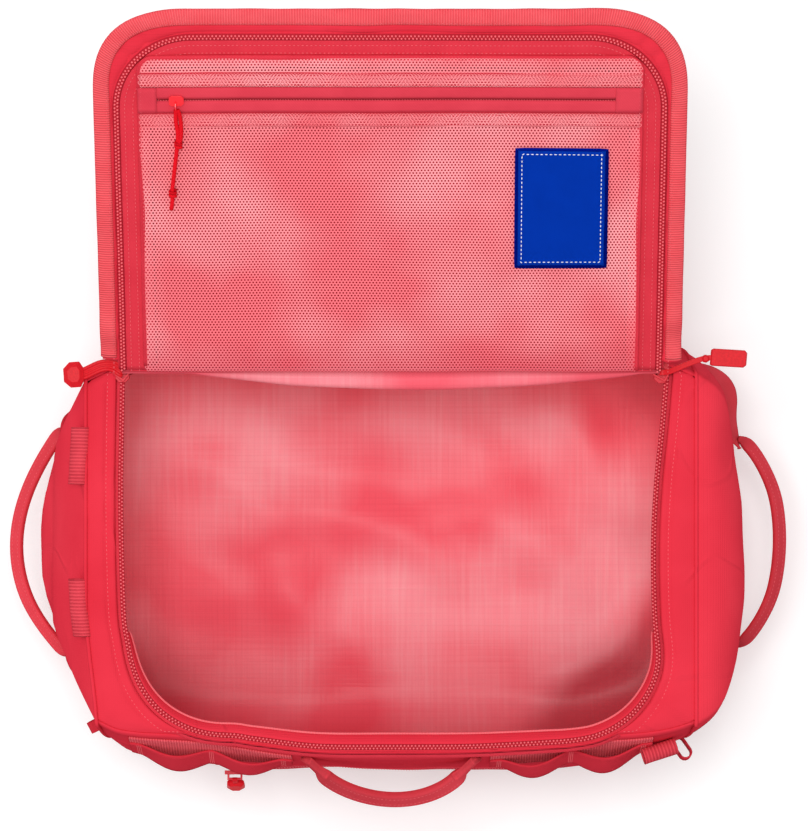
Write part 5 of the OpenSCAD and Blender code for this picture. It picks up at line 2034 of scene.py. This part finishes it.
PLATE_T = 1.6
SLIDER_SHIFT = {-1: Vector((0, 11.5, 0)), 1: Vector((1.0, 11, 0))}
plate = [
    (-6, 5.5), (-3.5, 8), (3.5, 8), (5.5, 5.5), (5, -5), (2.5, -8), (-2.5, -8), (-5.5, -5),
]
post = [(-5.5, -3), (-2.8, -3), (-2.8, 3), (-5.5, 3)]
for sign, word, turn in ((-1, "left", math.radians(38)), (1, "right", math.radians(-30))):
    spot = joint_at[f"{word}_zip"]
    bail_z = joint_at[f"{word}_pull_swing"].z - spot.z
    low_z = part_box(f"{word}_slider")[0].z / MM - spot.z
    c, s = math.cos(turn), math.sin(turn)
    square = [(5, 4.4), (-5, 4.4), (-5, -4.4), (5, -4.4)]
    bail = [(x * c - y * s, x * s + y * c, bail_z) for x, y in square]

    def on_zip(p):
        return spot + SLIDER_SHIFT[sign] + Vector((p.x * sign, p.y, p.z))

    made = assembled(
        f"{word}_slider_casting",
        [
            slab(plate, 2.0, 2.0 + PLATE_T), slab(plate, low_z, low_z + PLATE_T),
            slab(post, low_z, 2.0 + PLATE_T), bar_loop(bail, oblong(1.1, 0.8), (0, 0, 1)),
            slab(oblong(1.4, 1.4), 3.4, bail_z),
        ],
        enamel, on_zip, 0.35,
    )
    fitted(made, f"{word}_slider", "slider_metal", f"{word}_slider")


def on_pocket(p):
    return lid_point((pocket_rest + p.x, POCKET_V + p.y, p.z))


small = [(-5, 2.6), (-3, 4), (4, 4), (6, 2.2), (6, -2.2), (4, -4), (-3, -4), (-5, -2.6)]
pocket_casting = assembled(
    "pocket_slider_casting",
    [
        slab(small, 5.9, 7.2),
        bar_loop(
            [(0, -1.6, 7), (0, -1.9, 8.6), (0, -3.4, 9.2), (0, -5.2, 8.8), (0, -5.6, 7.6)],
            oblong(1.6, 0.5), (1, 0, 0), False,
        ),
    ],
    moulded("bright_enamel", "#FF2633", 0.3, 0.4), on_pocket, 0.3,
)
fitted(pocket_casting, "pocket_slider", "slider_metal", "pocket_slider")
front_cast = frame["nodes"]["front_slider"]
front_cast.data.materials.clear()
front_cast.data.materials.append(enamel)
soften(front_cast, 0.5)

# Zip pulls
# Moulded pulls of tough red rubber. The left one has a ribbed neck folded through the bail
# and a six-sided bead, and the right one a thin twisted neck and a flat bar.
rubber = moulded("red_rubber", "#D81A26", 0.42, 0.12)


def pull_frame(word, bend):
    """Place of a point on a pull: along it, towards the hinge and up from the bail."""
    sign = -1 if word == "left" else 1
    at = joint_at[f"{word}_pull_swing"] + SLIDER_SHIFT[sign]
    neck_end = 6
    c, s = math.cos(math.radians(bend)), math.sin(math.radians(bend))

    def place(p):
        along, aside = p.x, p.y
        if along > neck_end:
            past = along - neck_end
            along, aside = neck_end + past * c - aside * s, past * s + aside * c
        return at + Vector((sign * along, aside, p.z))

    return place


def pull(word, neck, section, slabs, place):
    """A neck swept along its line, with flat shapes moulded on its end."""
    neck_bar = bar_loop(smooth_path(neck, 4), section, (0, 0, 1), False)
    made = assembled(f"{word}_pull_rubber", [neck_bar, *slabs], rubber, place, 0.5)
    fitted(made, f"{word}_pull", "pull_rubber", f"{word}_pull")


ribbed = [
    (-4.5, -1.2), (4.5, -1.2), (4.7, 0.6), (4.0, 1.6), (2.6, 1.6), (2.0, 0.8), (0.8, 0.8),
    (0.5, 1.3), (-0.5, 1.3), (-0.8, 0.8), (-2.0, 0.8), (-2.6, 1.6), (-4.0, 1.6), (-4.7, 0.6),
]
left_neck = [
    (-1.5, 0, 1.6), (0.5, 1, 2.6), (5, 4, 2.2), (10, 5.5, 1.6), (16, 5, 1.4), (23, 2.5, 1.0),
    (28, 0.6, 0.4), (32, 0, 0),
]
bead = [
    (29, -4.5), (32, -9.8), (39.5, -9.8), (44.5, -5), (44.5, 5), (39.5, 9.8), (32, 9.8), (29, 4.5),
]
pull("left", left_neck, ribbed, [slab(bead, -5.0, 5.0, 0.4)], pull_frame("left", -4))
thin = oblong(2.1, 1.5)
right_neck = [
    (-1.5, 0, 1.4), (0.5, 0, 2.2), (5, 0.6, 1.4), (12, 2.2, 0.6), (21, 4.4, 0.2), (32, 6.4, 0),
    (42, 6.2, 0),
]
bar = [
    (37.5, 1.2), (39, 0.0), (62.5, -5.2), (65, -3.8), (67.3, 5.4), (65.8, 7.8), (42.2, 13),
    (40.3, 12.2),
]
knot = [(35 + a, 6.2 + b) for a, b in round_section(3.2, 3.2, 8)]
pull(
    "right", right_neck, thin, [slab(bar, -2.5, 2.5, 0.06), slab(knot, -2.8, 2.8, 0.4)],
    pull_frame("right", 9),
)
FRONT_DROOP = math.radians(56)
front_at = joint_at["front_pull_swing"]


def front_pull_place(p):
    """The front pull hangs out from the wall."""
    c, s = math.cos(FRONT_DROOP), math.sin(FRONT_DROOP)
    return front_at + Vector((p.y, -p.x * c - p.z * s, p.z * c - p.x * s))


front_neck = [(-1, 0, 0), (1, 0, 0.8), (4, 0.6, 0.6), (8, 1, 0)]
small_bead = [
    (4, -2.5), (6, -6.5), (13, -7), (17, -3.5), (17, 4), (13, 7.5), (6, 7), (4, 3),
]
pull("front", front_neck, thin, [slab(small_bead, -3.5, 3.5, 0.35)], front_pull_place)
